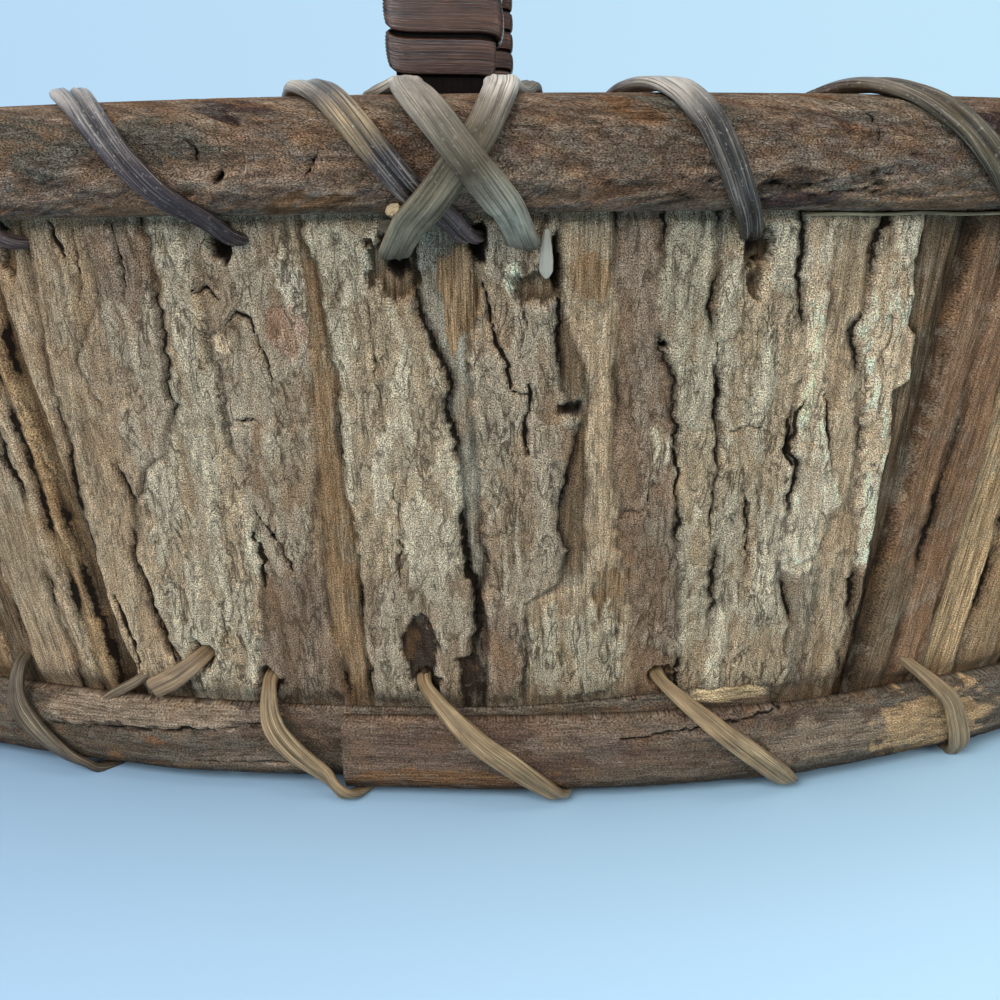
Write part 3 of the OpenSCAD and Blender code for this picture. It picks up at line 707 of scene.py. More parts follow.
@dataclass
class Coat:
    """Bark painted on a grid of points.

    Attributes:
        across: place of each point across the grain, in millimetres.
        along: place of each point along the grain, in millimetres.
        noise: what its small shapes are drawn from.
    """

    across: Array
    along: Array
    noise: Noise

    def __post_init__(self) -> None:
        """Starts bare: level, unsplit and without colour."""
        shape = self.across.shape
        self.rise, self.fibre, self.furrow = (np.zeros(shape) for _ in range(3))
        self.edge, self.gap = np.full(shape, NO_EDGE), np.full(shape, NO_SPLIT)
        self.tint = np.zeros(shape + (3,))
        self.order = np.zeros(shape)

    def ground(self, tone: Tone) -> None:
        """Gives the whole coat one colour."""
        self.tint[:] = tone.light

    def strips(self, strips: tuple[Strip, ...]) -> None:
        """Lays strips side by side.

        Each strip's left edge is a line through its points, pushed sideways by uneven steps and small noise.
        Level, fibre and colour change over it, and a groove of bell section is sunk along it. The distance
        to the nearest edge is kept with a sign that changes from strip to strip, so that it passes evenly
        through zero on every edge and the finish can draw a thin split there.

        Args:
            strips: strips from left to right.
        """
        noise, up = self.noise, self.along
        near = np.full(up.shape, FAR)
        for k, strip in enumerate(strips):
            high = np.array(sorted((p[1], p[0]) for p in strip.edge))
            jag = sum(tall * noise.steps(up / long, k * 3.0 + j) for j, (long, tall) in enumerate(JAGS))
            jag = jag + 0.6 * noise.at(up / 9, k * 5.3)
            across = self.across - np.interp(up, high[:, 0], high[:, 1]) - jag * (1 - 0.8 * strip.fibre)
            tone = np.broadcast_to(strip.tone.light, self.tint.shape)
            if strip.foot:
                border = FOOT_TONE_UP + 7 * noise.rough(self.across / 4, up / 9)
                low = ease((border - up) / 6)[..., None]
                tone = tone + (strip.foot.light - tone) * low
            if k:
                step = ease(across / 0.8 + 0.5)
                self.rise += (strip.level - self.rise) * step
                self.fibre += (strip.fibre - self.fibre) * step
                soft = 0.5 + 1.8 * ease(noise.at(up / 10, k * 3.9 + 30) * 0.9 + 0.4)
                torn = across + 0.4 * soft * noise.rough(self.across / 1.3, up / 6)
                self.tint += (tone - self.tint) * ease(torn / soft + 0.5)[..., None]
                self.order += across > 0
            else:
                self.rise[:], self.fibre[:], self.tint[:] = strip.level, strip.fibre, tone
            force = np.clip(strip.crack * 1.3 - 0.45 + 0.9 * noise.at(up / 9, k * 2.7 + 50), 0, 1)
            wide = (0.75 * strip.width * force * (1 + 0.6 * noise.at(up / 3, k * 4.1 + 90))
                    - 1.7 * (1 - force) ** 2)
            self.gap = np.where(np.abs(across) < near, wide, self.gap)
            near = np.minimum(near, np.abs(across))
            self.rise -= 1.3 * force * np.exp(-(across / (0.35 + strip.width)) ** 2)
            # Painted shade: the colour darkens beside the groove, the more the stronger its split
            self.tint *= (1 - 0.3 * force * np.exp(-(across / 1.6) ** 2))[..., None]
        self.edge = np.where(np.mod(self.order, 2) == 0, 1, -1) * np.minimum(near, EDGE_REACH)

    def patches(self, tones: tuple[Tone, ...], wide: float, long: float, cover: float) -> None:
        """Lays ragged patches of each tone where stretched noise is high.

        Args:
            tones: colours of the patches.
            wide: size of the patches across the grain in millimetres.
            long: size of the patches along the grain in millimetres.
            cover: how far a patch hides what is under it.
        """
        for k, tone in enumerate(tones):
            field = self.noise.rough(self.across / wide + 31 * k, self.along / long + 17 * k, 6, 0.6)
            self.tint += (tone.light - self.tint) * (cover * ease((field - 0.28) / 0.06))[..., None]

    def breaks(self) -> None:
        """Breaks the plates across.

        The place along the grain, bent by noise, is cut into pieces of random length on each strip. Each
        piece gets a random level and tone, and some of the cuts a thin split.
        """
        noise, order = self.noise, self.order
        length = SHORT_PIECE + (LONG_PIECE - SHORT_PIECE) * noise.pick(order, 3)
        bent = self.along + 3.5 * noise.rough(self.across / 5 + 31, self.along / 12)
        place = (bent + 40 * noise.pick(order, 5)) / length
        piece = np.floor(place)
        near = np.minimum(place - piece, piece + 1 - place) * length
        plate = 1 - np.clip(self.fibre, 0, 1)
        force = plate * np.clip(2.4 * noise.pick(np.round(place), order + 11) - 1.7, 0, 1)
        self.furrow = np.maximum(self.furrow, 0.85 * force * (1 - near / 0.7))
        blend = ease(near / 0.9)
        self.rise += plate * blend * (noise.pick(piece, order) - 0.5) * 0.8
        self.tint *= (1 + blend * 0.22 * (noise.pick(piece, order + 40) - 0.5))[..., None]

    def flakes(self, wide: float, long: float, high: float) -> None:
        """Peels the surface in layers.

        Stretched noise is cut into levels with steep steps. Each level has its own lightness, and those under
        the common one are browner.

        Args:
            wide: size of the flakes across the grain in millimetres.
            long: size of the flakes along the grain in millimetres.
            high: thickness of a layer in millimetres.
        """
        field = 2.4 * self.noise.rough(self.across / wide + 2, self.along / long, 5, 0.6)
        layer = np.floor(field)
        stair = layer + ease((field - layer - 0.8) * 5)
        plate = 1 - self.fibre
        self.rise += high * plate * stair
        self.tint *= (1 + plate * 0.3 * (self.noise.pick(layer, self.order) - 0.5))[..., None]
        self.tint *= 1 - (0.6 * plate * (stair < -0.6))[..., None] * np.array([0.15, 0.3, 0.42])

    def relief(self) -> None:
        """Raises lengthwise laminations on plates, and cords of fibre on torn bands."""
        noise, a, v = self.noise, self.across, self.along
        plates = 0.42 * noise.rough(a / 2.0, v / 24) + 0.35 * noise.rough(a / 5 + 4, v / 12)
        plates = plates + 0.16 * noise.rough(a / 1.1 + 5, v / 2.2)
        cords = 0.6 * noise.rough(a / 1.2, v / 24) + 0.5 * noise.rough(a / 3.1 + 9, v / 40)
        self.rise += self.fibre * cords + (1 - self.fibre) * plates

    def cracks(self, cracks: tuple[Crack, ...]) -> None:
        """Draws splits: blackness falls off evenly from each line, which is thin at its ends.

        Args:
            cracks: the splits.
        """
        noise, across, along = self.noise, self.across, self.along
        a = across + 0.35 * noise.at(along / 1.9, across / 6) + 0.3 * noise.steps(along / 1.3, 77)
        v = along + 0.35 * noise.at(across / 1.9 + 9, along / 6) + 0.3 * noise.steps(across / 1.3, 78)
        uneven = 0.75 + 0.35 * noise.at(along / 1.6, across / 1.6)
        for crack in cracks:
            path = np.array(crack.path, float)
            for k, (start, stop) in enumerate(zip(path[:-1], path[1:])):
                way = stop - start
                share = np.clip(((a - start[0]) * way[0] + (v - start[1]) * way[1]) / (way @ way), 0, 1)
                off = np.hypot(a - start[0] - share * way[0], v - start[1] - share * way[1])
                thin = 0.45 + 0.55 * np.sin(math.pi * np.clip((k + share) / (len(path) - 1), 0.05, 0.95))
                black = crack.depth * (1 - 0.5 * off / (crack.width * thin * uneven))
                self.furrow = np.maximum(self.furrow, black)

    def grooves(self, long: float, wide: float, gap: float, where: Array | float = 1.0) -> None:
        """Draws long thin splits along the zero lines of stretched noise, in some places only.

        Args:
            long: size of that noise along the grain in millimetres.
            wide: size of that noise across the grain in millimetres.
            gap: size along the grain of the places that have splits, in millimetres.
            where: factor on their blackness.
        """
        drawn = self.noise.rough(self.along / long + 3, self.across / wide + 8)
        often = ease(self.noise.at(self.along / gap + 11, self.across / 9) * 2.2 - 0.7) * where
        self.furrow = np.maximum(self.furrow, often * (0.85 - np.abs(drawn) / 0.04))

    def blots(self, blots: tuple[Blot, ...]) -> None:
        """Lays patches: inside a ragged oval, colour, fibre and level change, and its core may be black.

        Args:
            blots: the patches.
        """
        for blot in blots:
            rag = 0.5 * self.noise.rough(self.across / 1.8 + blot.across, self.along / 4)
            off = np.hypot((self.across - blot.across) / blot.wide, (self.along - blot.along) / blot.long)
            inside = ease((1.1 + rag - off) / 0.12)
            self.rise -= blot.pit * inside
            self.fibre += (blot.fibre - self.fibre) * inside
            self.tint += (blot.tone.light - self.tint) * inside[..., None]
            self.gap -= 3 * (inside > 0.5)
            self.furrow = np.maximum(self.furrow, blot.dark * (0.95 + 0.6 * rag - 0.55 * off))

    def finished(self) -> dict[str, Array]:
        """Sinks the splits, paints crests lighter and hollows darker as painted highlight and shade, and
        gives what the finish reads.
        """
        self.rise -= 1.6 * np.clip(self.furrow, 0, 1)
        smooth = self.rise
        for axis in (0, 1):
            smooth = sum(np.roll(smooth, k, axis) for k in range(-3, 4)) / 7
        crest = np.clip((self.rise - smooth) / 0.4, -1, 1)
        # Painted highlight on crests and painted shade in hollows
        self.tint *= (1 + 0.34 * crest)[..., None]
        return {"tint": np.clip(self.tint, 0.006, 1), "fibre": np.clip(self.fibre, 0, 1),
                "furrow": self.furrow, "edge": self.edge, "gap": self.gap}


FRONT_STRIPS = (
    Strip(((-90, 122), (-75, 22)), Tone.TAN, 0.3, 0.4, 0.0),
    Strip(((-79.5, 122), (-79.5, 100), (-80, 96), (-79, 83), (-78.5, 63), (-78, 57), (-79, 48), (-74.5, 25)),
          Tone.TAN, 0.8, 0.4, 0.9, 0.6),
    Strip(((-65.5, 122), (-65, 116), (-64.5, 110), (-68, 105), (-73, 98), (-70, 90), (-68, 75), (-66.5, 68),
           (-68, 54), (-66.5, 44), (-64, 33), (-62, 25)), Tone.DRAB, 1.3, 0.1, 0.65, 0.4, Tone.UMBER),
    Strip(((-55, 122), (-54, 112), (-54, 93), (-53.5, 89), (-55.5, 84), (-57.5, 78), (-61.5, 75), (-65, 68),
           (-67, 54), (-65, 44), (-62.5, 33), (-60, 25)), Tone.OLIVE, 1.5, 0.0, 0.9, 0.55),
    Strip(((-47, 122), (-45.5, 104), (-44, 90), (-42.5, 72), (-40, 60), (-39, 54), (-41, 46), (-42.5, 34),
           (-44.5, 23)), Tone.DRAB, 1.0, 0.1, 0.45, 0.4, Tone.PURPLE),
    Strip(((-26.5, 122), (-26, 105), (-27, 90), (-27.5, 75), (-28, 60), (-27, 45), (-25, 32), (-24, 23)),
          Tone.BROWN, 0.1, 0.55, 0.4, 0.4),
    Strip(((-25, 122), (-23, 111), (-21.5, 100), (-21.5, 93), (-21, 79), (-20, 60), (-19.5, 45), (-19, 25)),
          Tone.OLIVE, 1.7, 0.1, 0.7, 0.35, Tone.DRAB),
    Strip(((-8, 122), (-6.5, 112), (-4.5, 106), (-3, 101), (-1, 95), (-1, 88), (0.5, 77), (1.5, 66), (2, 59),
           (3, 51), (3, 41), (2.5, 34), (-0.5, 33), (-0.5, 27), (0.5, 22)), Tone.SLATE, -0.4, 0.35, 0.75, 0.5,
          Tone.DARK_BROWN),
    Strip(((4.5, 122), (4.5, 112), (3.5, 95), (5, 79), (6, 69), (5, 59), (5.5, 51), (5, 25)),
          Tone.DRAB, 1.5, 0.0, 0.55, 0.4),
    Strip(((19, 122), (19, 109), (19.5, 102), (20.5, 90), (23.5, 86), (23, 80), (21, 69), (20.5, 63),
           (22, 57), (20, 50), (14, 46), (13.5, 25)), Tone.UMBER, 0.0, 0.5, 0.7, 0.45, Tone.DRAB),
    Strip(((19.5, 122), (20.5, 108), (25, 95), (25.5, 86), (25, 75), (25.5, 63), (26.5, 57), (25, 50),
           (14.5, 46.5), (14, 25)), Tone.TAN, 0.8, 0.55, 0.35, 0.35),
    Strip(((29, 122), (29.5, 109), (30.5, 103), (30, 96), (31, 85), (32, 70), (33, 58), (34, 50), (35.5, 44),
           (36, 25)), Tone.PURPLE, 1.2, 0.1, 0.55, 0.4),
    Strip(((37.5, 121), (38, 103), (41, 90), (42.5, 80), (43, 70), (44, 55), (46, 30)),
          Tone.LICHEN, 1.6, 0.1, 0.65, 0.4),
    Strip(((47.5, 119), (46.5, 107), (48, 99), (49.5, 90), (51, 81), (51, 71), (52, 45), (52.5, 25)),
          Tone.OLIVE, 1.5, 0.0, 0.7, 0.45),
    Strip(((62.5, 122), (62.5, 113), (63.5, 107), (66, 96), (66.5, 92), (64.5, 82), (64.5, 77), (66.5, 75),
           (66, 60), (67, 50), (69, 42), (70, 28)), Tone.PALE, 1.2, 0.15, 0.75, 0.45, Tone.DRAB),
    Strip(((69.5, 122), (70, 105), (72, 89), (73.5, 82), (75, 74), (77.5, 66), (75.5, 63), (74.5, 54),
           (75, 42), (77, 28)), Tone.TAN, 0.9, 0.35, 0.6, 0.4),
    Strip(((78.5, 120), (77.5, 110), (75.5, 102), (77, 97), (78.5, 89), (80, 79), (80.5, 67), (82.5, 57),
           (83, 45), (83.5, 30)), Tone.PALE, 1.7, 0.0, 0.8, 0.5, Tone.UMBER),
    Strip(((87, 122), (86.5, 103), (88.5, 101), (89, 92), (85.5, 89), (87, 80), (87, 70), (86, 50), (86, 25)),
          Tone.UMBER, -0.4, 0.8, 0.6, 0.45, Tone.DARK_BROWN),
)
# The part of the slab on the left that the photograph still shows
LEFT_STRIPS = (
    Strip(((756, 122), (760, 72), (759, 22)), Tone.TAN, 1.3, 0.3, 0.95, 0.6),
    Strip(((761, 122), (764, 72), (764.5, 22)), Tone.OCHRE, 0.9, 0.4, 0.95, 0.7),
    Strip(((766, 122), (767.5, 72), (769, 22)), Tone.BROWN, 0.5, 0.5, 0.95, 0.7, Tone.UMBER),
)
FRONT_CRACKS = (
    Crack(((6, 112), (8, 102), (9.5, 98), (11, 94), (10.5, 92)), 1.0, 0.55),
    Crack(((12.5, 110), (13.5, 105), (13, 103.5)), 0.75, 0.35),
    Crack(((14, 93), (14.5, 89), (13.5, 85), (13.5, 82), (14.5, 79)), 1.0, 0.6),
    Crack(((10.5, 92), (12, 91), (14, 91)), 0.8, 0.35),
    Crack(((-40, 66), (-36.5, 60), (-33, 53)), 0.9, 0.4),
    Crack(((-41, 62), (-39.5, 56), (-40, 49)), 0.9, 0.8),
    Crack(((57, 70), (58.5, 62), (59.5, 53)), 0.9, 0.45),
    Crack(((72, 89), (73.5, 82), (75, 74)), 0.9, 0.4),
    Crack(((-45.5, 102), (-42, 105), (-39, 107), (-37, 106), (-36, 102), (-35, 98), (-33, 91)), 0.85, 0.45),
    Crack(((-41.5, 86), (-39.5, 85), (-38, 86)), 0.85, 0.4),
    Crack(((-47, 111), (-44.5, 111.5), (-42.5, 109.5)), 1.0, 0.5),
    Crack(((-12, 75), (-11, 62), (-11.5, 50)), 0.7, 0.35),
    Crack(((-15, 110), (-14, 96), (-13, 84)), 0.7, 0.35),
    Crack(((42.5, 79), (43, 74), (43.5, 68)), 1.0, 0.6),
    Crack(((67, 88), (66.5, 82), (65, 77), (66.5, 75)), 1.0, 0.7),
    Crack(((49, 100), (49.5, 89), (51, 80), (51, 70), (50.5, 61)), 0.75, 0.6),
    Crack(((-73.5, 124), (-72.8, 121), (-71.8, 118)), 1.0, 0.9),
    Crack(((-69, 124), (-69.3, 116), (-70, 109)), 0.85, 0.35),
    Crack(((-60.5, 124), (-60.2, 116), (-60.5, 109)), 0.85, 0.45),
    Crack(((-74.5, 45), (-73, 37), (-71.5, 27)), 1.0, 0.8),
    Crack(((-67, 53), (-65, 42), (-63, 29)), 1.0, 0.8),
    Crack(((-49, 47), (-50, 38), (-48.5, 33)), 0.75, 0.35),
    Crack(((38, 70), (36.5, 66), (33.5, 66)), 0.8, 0.35),
    Crack(((53, 82), (57, 83.5), (61, 82)), 0.7, 0.3),
)
# Patches on the front slab. The near-black cores of the sunk ones are painted shade in the holes that the
# cane goes through and in pits.
FRONT_BLOTS = (
    Blot(-59.5, 116, 5.5, 9, Tone.PURPLE),
    Blot(2, 110, 3.6, 10, Tone.BROWN, -0.2, 1.0),
    Blot(-10, 116, 4.2, 6.5, Tone.UMBER, 2.4, 0.9, 0.3),
    Blot(-9.5, 116.5, 2.2, 2.6, Tone.DARK_BROWN, 1.6, 0.3, 0.85),
    Blot(5.3, 119.5, 1.6, 3.6, Tone.DARK_BROWN, 3.0, 0.3, 0.95),
    Blot(15.5, 111.8, 4.0, 3.0, Tone.UMBER, 1.8, 0.6, 0.3),
    Blot(18.8, 115.5, 1.0, 4.0, Tone.DARK_BROWN, 3.0, 0.3, 0.9),
    # A pale rough spot, made lighter as a painted highlight
    Blot(11.2, 113.5, 1.7, 2.8, Tone.PALE, -0.4),
    Blot(25, 113, 3.0, 4.6, Tone.BROWN, -0.4, 0.9),
    Blot(55, 118.5, 2.6, 3.4, Tone.UMBER, 3.0, 0.7, 0.8),
    Blot(55.5, 112.5, 1.3, 3.6, Tone.UMBER, 2.0, 0.7, 0.6),
    Blot(-40.3, 120.5, 2.0, 4.4, Tone.DARK_BROWN, 3.0, 0.3, 0.95),
    Blot(-84, 119, 1.6, 5.5, Tone.DARK_BROWN, 2.0, 0.3, 1.0),
    Blot(-28.3, 113, 2.5, 5.5, Tone.MIST, -0.2),
    Blot(-29.8, 103.5, 4.0, 4.6, Tone.PINK),
    Blot(-43, 101, 1.5, 2.0, Tone.PALE, -0.5),
    Blot(-32.8, 79, 3.2, 4.2, Tone.MIST),
    Blot(39, 80, 2.2, 4.2, Tone.LICHEN, -0.2),
    Blot(-8.7, 35, 3.2, 7.5, Tone.DARK_BROWN, 1.0, 0.2, 0.45),
    Blot(31.5, 46.5, 3.8, 8.0, Tone.BROWN, 0.7, 0.9),
    Blot(21.8, 87.5, 2.3, 1.4, Tone.DARK_BROWN, 1.4, 0.2, 0.9),
    Blot(39, 100, 0.8, 0.8, Tone.DARK_BROWN, 1.6, 0.0, 1.0),
    Blot(24, 33, 9.5, 12, Tone.LICHEN, -0.6),
    Blot(9.5, 35, 4.5, 12, Tone.PURPLE, 0.0, 0.1),
    Blot(40, 33, 5, 10, Tone.PURPLE, -0.4),
    Blot(-41, 26.5, 2.6, 3.4, Tone.UMBER, 2.2, 0.6, 0.75),
    Blot(43, 26.5, 2.6, 3.4, Tone.UMBER, 2.2, 0.6, 0.75),
    Blot(-55.4, 32, 2.4, 3.0, Tone.UMBER, 2.0, 0.6, 0.8),
    Blot(-7, 26.5, 2.6, 3.4, Tone.DARK_BROWN, 2.2, 0.6, 0.75),
)
# Plates of the three slabs of one half, used for every slab but the front one: share of the full height,
# then run of the left edge low, midway and high
PLATES = (
    ((0.8, -63.5, -68.5, -65), (0.9, -59.5, -61.5, -55), (0.6, -44, -42.5, -46.5), (0, -24.5, -27.5, -28),
     (1, -19.5, -21, -23.5), (-0.2, 0, 1, -7), (0.9, 5, 6, 4.5), (0, 12.5, 20.5, 17), (0.5, 15.5, 25, 20.5),
     (0.7, 35.5, 32, 29), (0.95, 46, 42.5, 38), (0.9, 52.5, 50.5, 47), (0.7, 67.5, 66.5, 62.5),
     (0.55, 73.5, 74.5, 69.5), (1, 78.5, 80.5, 78)),
    ((0.9, 96, 101, 106), (0.2, 104, 109, 113), (0.95, 115, 120, 124), (0.1, 129, 133, 136),
     (0.8, 135, 139.5, 143), (0.3, 150, 153, 156), (1, 157, 160.5, 164), (0.15, 172, 175, 177),
     (0.85, 178.5, 181.5, 184), (0.3, 194, 196, 199), (0.9, 201, 203.5, 206)),
    ((0.15, 232, 231, 230.5), (0.9, 238, 237.5, 237), (0.3, 253, 251, 250), (1, 259.5, 257.5, 256),
     (0.1, 275, 272, 269), (0.8, 281.5, 278, 275), (0.25, 298, 293, 289), (0.95, 304.5, 299, 295),
     (0.2, 321, 314, 308), (0.75, 327.5, 320, 314)),
)
PLATE_UPS = (25.0, 72.0, 121.0)
PLATE_HEIGHT = 1.7
# A plate with less than this share of the height is a torn band
TORN_BELOW = 0.35
# Distance from the first plate to the edge of what lies left of it
FIRST_PLATE_WIDTH = 40.0
SLABS_IN_HALF = len(PLATES)
SLAB_SEED = 40
# Heights between which the bark shows, and the top of the bark inside the rims
SHOWN_LOW, SHOWN_HIGH = 20.0, 127.0
WALL_TOP = OVAL.wall_up - 1


def planned_strips(index: int, tones: tuple[Tone, ...], fibrous: float, lean: float) -> tuple[Strip, ...]:
    """Plates and bands of a slab other than the front one.

    Args:
        index: the slab, counted round the basket from the front.
        tones: colours from left to right, over and over.
        fibrous: how fibrous its plates are.
        lean: slant of its grain along the run, per millimetre up.

    Returns:
        Strips from left to right.
    """
    rng = np.random.default_rng(SLAB_SEED + index)
    shift = (index // SLABS_IN_HALF) * OVAL.half_girth()
    plan = PLATES[index % SLABS_IN_HALF]
    first = (0.5, *(run - FIRST_PLATE_WIDTH for run in plan[0][1:]))
    strips = []
    for k, (share, *runs) in enumerate((first, *plan)):
        edge = tuple((run + shift - lean * (up - OVAL.wall_up / 2), up) for run, up in zip(runs, PLATE_UPS))
        torn = share < TORN_BELOW
        strips.append(Strip(edge, tones[k % len(tones)], PLATE_HEIGHT * share, 0.9 if torn else fibrous,
                            float(rng.uniform(0.4, 0.9)), float(rng.uniform(0.3, 0.5)),
                            Tone.UMBER if rng.random() < 0.2 else None))
    return tuple(strips)


@dataclass
class BarkSlab:
    """One slab of the wall, whose left edge laps over its neighbour and whose right edge goes under the next.

    Attributes:
        name: node that it stands for.
        left: run of its left edge at mid height, and its slant per millimetre up.
        right: the same for the next slab's left edge.
        strips: plates and bands from left to right.
        cracks: splits drawn across them.
        blots: patches of another kind.
        seed: what its small shapes are drawn from.
        cell: spacing of its mesh in millimetres.
        lean: slant of its grain along the run, per millimetre up.
        lap: width of the lap.
        lapped: depth of the lap.
        rounding: how far its left edge is rounded off.
        deepest: how deep a furrow may be.
    """

    name: str
    left: tuple[float, float]
    right: tuple[float, float]
    strips: tuple[Strip, ...]
    cracks: tuple[Crack, ...] = ()
    blots: tuple[Blot, ...] = ()
    seed: float = 1.0
    cell: float = 0.48
    lean: float = 0.0
    lap: float = 16.0
    lapped: float = 2.6
    rounding: float = 2.3
    deepest: float = 3.9

    def edge(self, line: tuple[float, float], up: Array) -> Array:
        """Run of a slanting slab edge at a height up the wall."""
        return line[0] + line[1] * (up - OVAL.wall_up / 2)

    def straight(self, run: Array, up: Array) -> Array:
        """Place across the grain, which is the run where the grain stands upright."""
        return run - self.lean * (up - OVAL.wall_up / 2)

    def levels(self) -> Array:
        """Heights of the mesh's rows: fine where the bark shows, coarse under the rim and the hoop."""
        return np.concatenate([np.linspace(OVAL.wall_foot, SHOWN_LOW - 1.5, 5),
                               np.arange(SHOWN_LOW, SHOWN_HIGH, self.cell),
                               np.linspace(SHOWN_HIGH + 1.5, WALL_TOP, 6)])

    def shares(self) -> Array:
        """Places of the mesh's columns, 0 at the left edge and 1 at the right, coarse under the next slab."""
        width = self.right[0] + self.lap - self.left[0]
        seen = 1 - (self.lap - 2) / width
        shown = np.linspace(0, seen, int(width * seen / self.cell))
        return np.concatenate([shown, [seen + 0.3 * (1 - seen), 1]])

    def grid(self, up: Array) -> tuple[Array, Array, Array, Array]:
        """Lays out one face of the slab.

        Args:
            up: heights of its rows.

        Returns:
            Runs of the left and the right edge at each height, and run and height of every point.
        """
        start, stop = self.edge(self.left, up), self.edge(self.right, up) + self.lap
        run = start[None, :] + self.shares()[:, None] * (stop - start)[None, :]
        return start, stop, run, np.broadcast_to(up, run.shape)

    def coat(self, run: Array, up: Array) -> Coat:
        """Paints the outer face with strips, patches, relief and splits, with painted shade under the rim and
        above the hoop.
        """
        coat = Coat(self.straight(run, up), up, Noise(self.seed))
        coat.strips(self.strips)
        coat.blots(self.blots)
        coat.breaks()
        coat.flakes(wide=4.5, long=15.0, high=0.32)
        coat.relief()
        coat.cracks(self.cracks)
        # Painted shade: a little darker towards the top under the rim, and much darker at the foot above the
        # hoop
        shade = (1 - 0.12 * ease((up - 98) / 20)) * (1 - 0.5 * ease((29 - up) / 7))
        coat.tint *= shade[..., None]
        return coat

    def build(self, material: Material) -> None:
        """Makes the slab: its outer face from foot to top, then its plain inner face back down."""
        up = self.levels()
        start, stop, run, rows = self.grid(up)
        coat = self.coat(run, rows)
        marks = coat.finished()
        window = ease((rows - OVAL.hoop_top) / 4) * ease((OVAL.rim_foot - rows) / 2.5)
        sunk = ease((run - (stop - self.lap - 4)[None, :]) / 3)
        ragged = 0.7 * Noise(self.seed + 3).at(up / 7, 0.0)[None, :]
        lip = ease((run - start[None, :] - 0.9 - ragged) / 1.4)
        out = coat.rise * window * (1 - sunk) * lip - self.lapped * sunk - self.rounding * (1 - lip)
        outer = OVAL.wall(run, np.maximum(out, -self.deepest), rows)
        back_start, _, back_run, back_rows = self.grid(np.linspace(WALL_TOP, OVAL.wall_foot, 26))
        over = 1 - ease((back_run - back_start[None, :] - self.lap) / (0.5 * self.lap))
        furl = 0.5 * Noise(self.seed + 8).rough(back_run / 9, back_rows / 30)
        inner = OVAL.wall(back_run, -OVAL.bark + over * (self.lapped - 0.1) + furl * (1 - over), back_rows)
        bare = {"tint": Tone.BROWN.light * 0.8, "fibre": 0.8, "furrow": 0.0, "edge": NO_EDGE, "gap": NO_SPLIT}
        full = {}
        for key, value in marks.items():
            behind = np.broadcast_to(bare[key], back_run.shape + value.shape[2:])
            full[key] = np.concatenate([value, behind], axis=1)
        # Painted shade: darker on the rounded lip of the left edge, and beside and under the next slab's lap
        full["tint"][:, :rows.shape[1]] *= ((0.3 + 0.7 * lip) * (1 - 0.4 * sunk))[..., None]
        lay = np.concatenate([np.stack([self.straight(run, rows), rows], axis=-1),
                              np.stack([back_run, back_rows], axis=-1)], axis=1)
        skin = Skin(np.concatenate([outer, inner], axis=1), closed(lay), full)
        skin.make(self.name + "_plates", material, "bark", (self.name,))


@dataclass
class BarkWall:
    """The six lapped slabs."""

    edges: tuple[tuple[float, float], ...] = ((-82.5, -0.17), (92.0, 0.1), (220.0, 0.04))
    left_lean: float = -0.12

    def line(self, index: int) -> tuple[float, float]:
        """Left edge of a slab, counted round the basket from the front."""
        run, slant = self.edges[index % SLABS_IN_HALF]
        return run + (index // SLABS_IN_HALF) * OVAL.half_girth(), slant

    def build(self) -> None:
        """Makes the slabs: the front placed from the photograph, the others from their plates."""
        # Old tree bark: matt grey-tan grit with dark dashes, split into plates by thin black cracks
        material = Bark("weathered plated bark").material()
        grey = (Tone.OLIVE, Tone.DRAB, Tone.LICHEN, Tone.PALE, Tone.TAN, Tone.PURPLE, Tone.BROWN, Tone.OCHRE)
        warm = (Tone.RUSSET, Tone.RUSSET, Tone.OCHRE, Tone.BROWN, Tone.RUSSET, Tone.TAN, Tone.DRAB)
        tan = (Tone.TAN, Tone.OCHRE, Tone.TAN, Tone.BROWN, Tone.DRAB)
        plans = {"bark_front": (grey, 0.48), "bark_right_front": (warm, 0.62), "bark_right_back": (grey, 0.8),
                 "bark_back": (grey, 0.8), "bark_left_back": (warm, 0.8), "bark_left_front": (tan, 0.62)}
        for index, (name, (plan, cell)) in enumerate(plans.items()):
            left, right = self.line(index), self.line(index + 1)
            if name == "bark_front":
                slab = BarkSlab(name, left, right, FRONT_STRIPS, FRONT_CRACKS, FRONT_BLOTS, 1.0, cell)
            else:
                partly_seen = name == "bark_left_front"
                lean = self.left_lean if partly_seen else left[1] * 1.3
                strips = planned_strips(index, plan, 0.1 if plan is grey else 0.6, lean)
                if partly_seen:
                    strips += LEFT_STRIPS
                slab = BarkSlab(name, left, right, strips, seed=index + 1.0, cell=cell, lean=lean)
            slab.build(material)


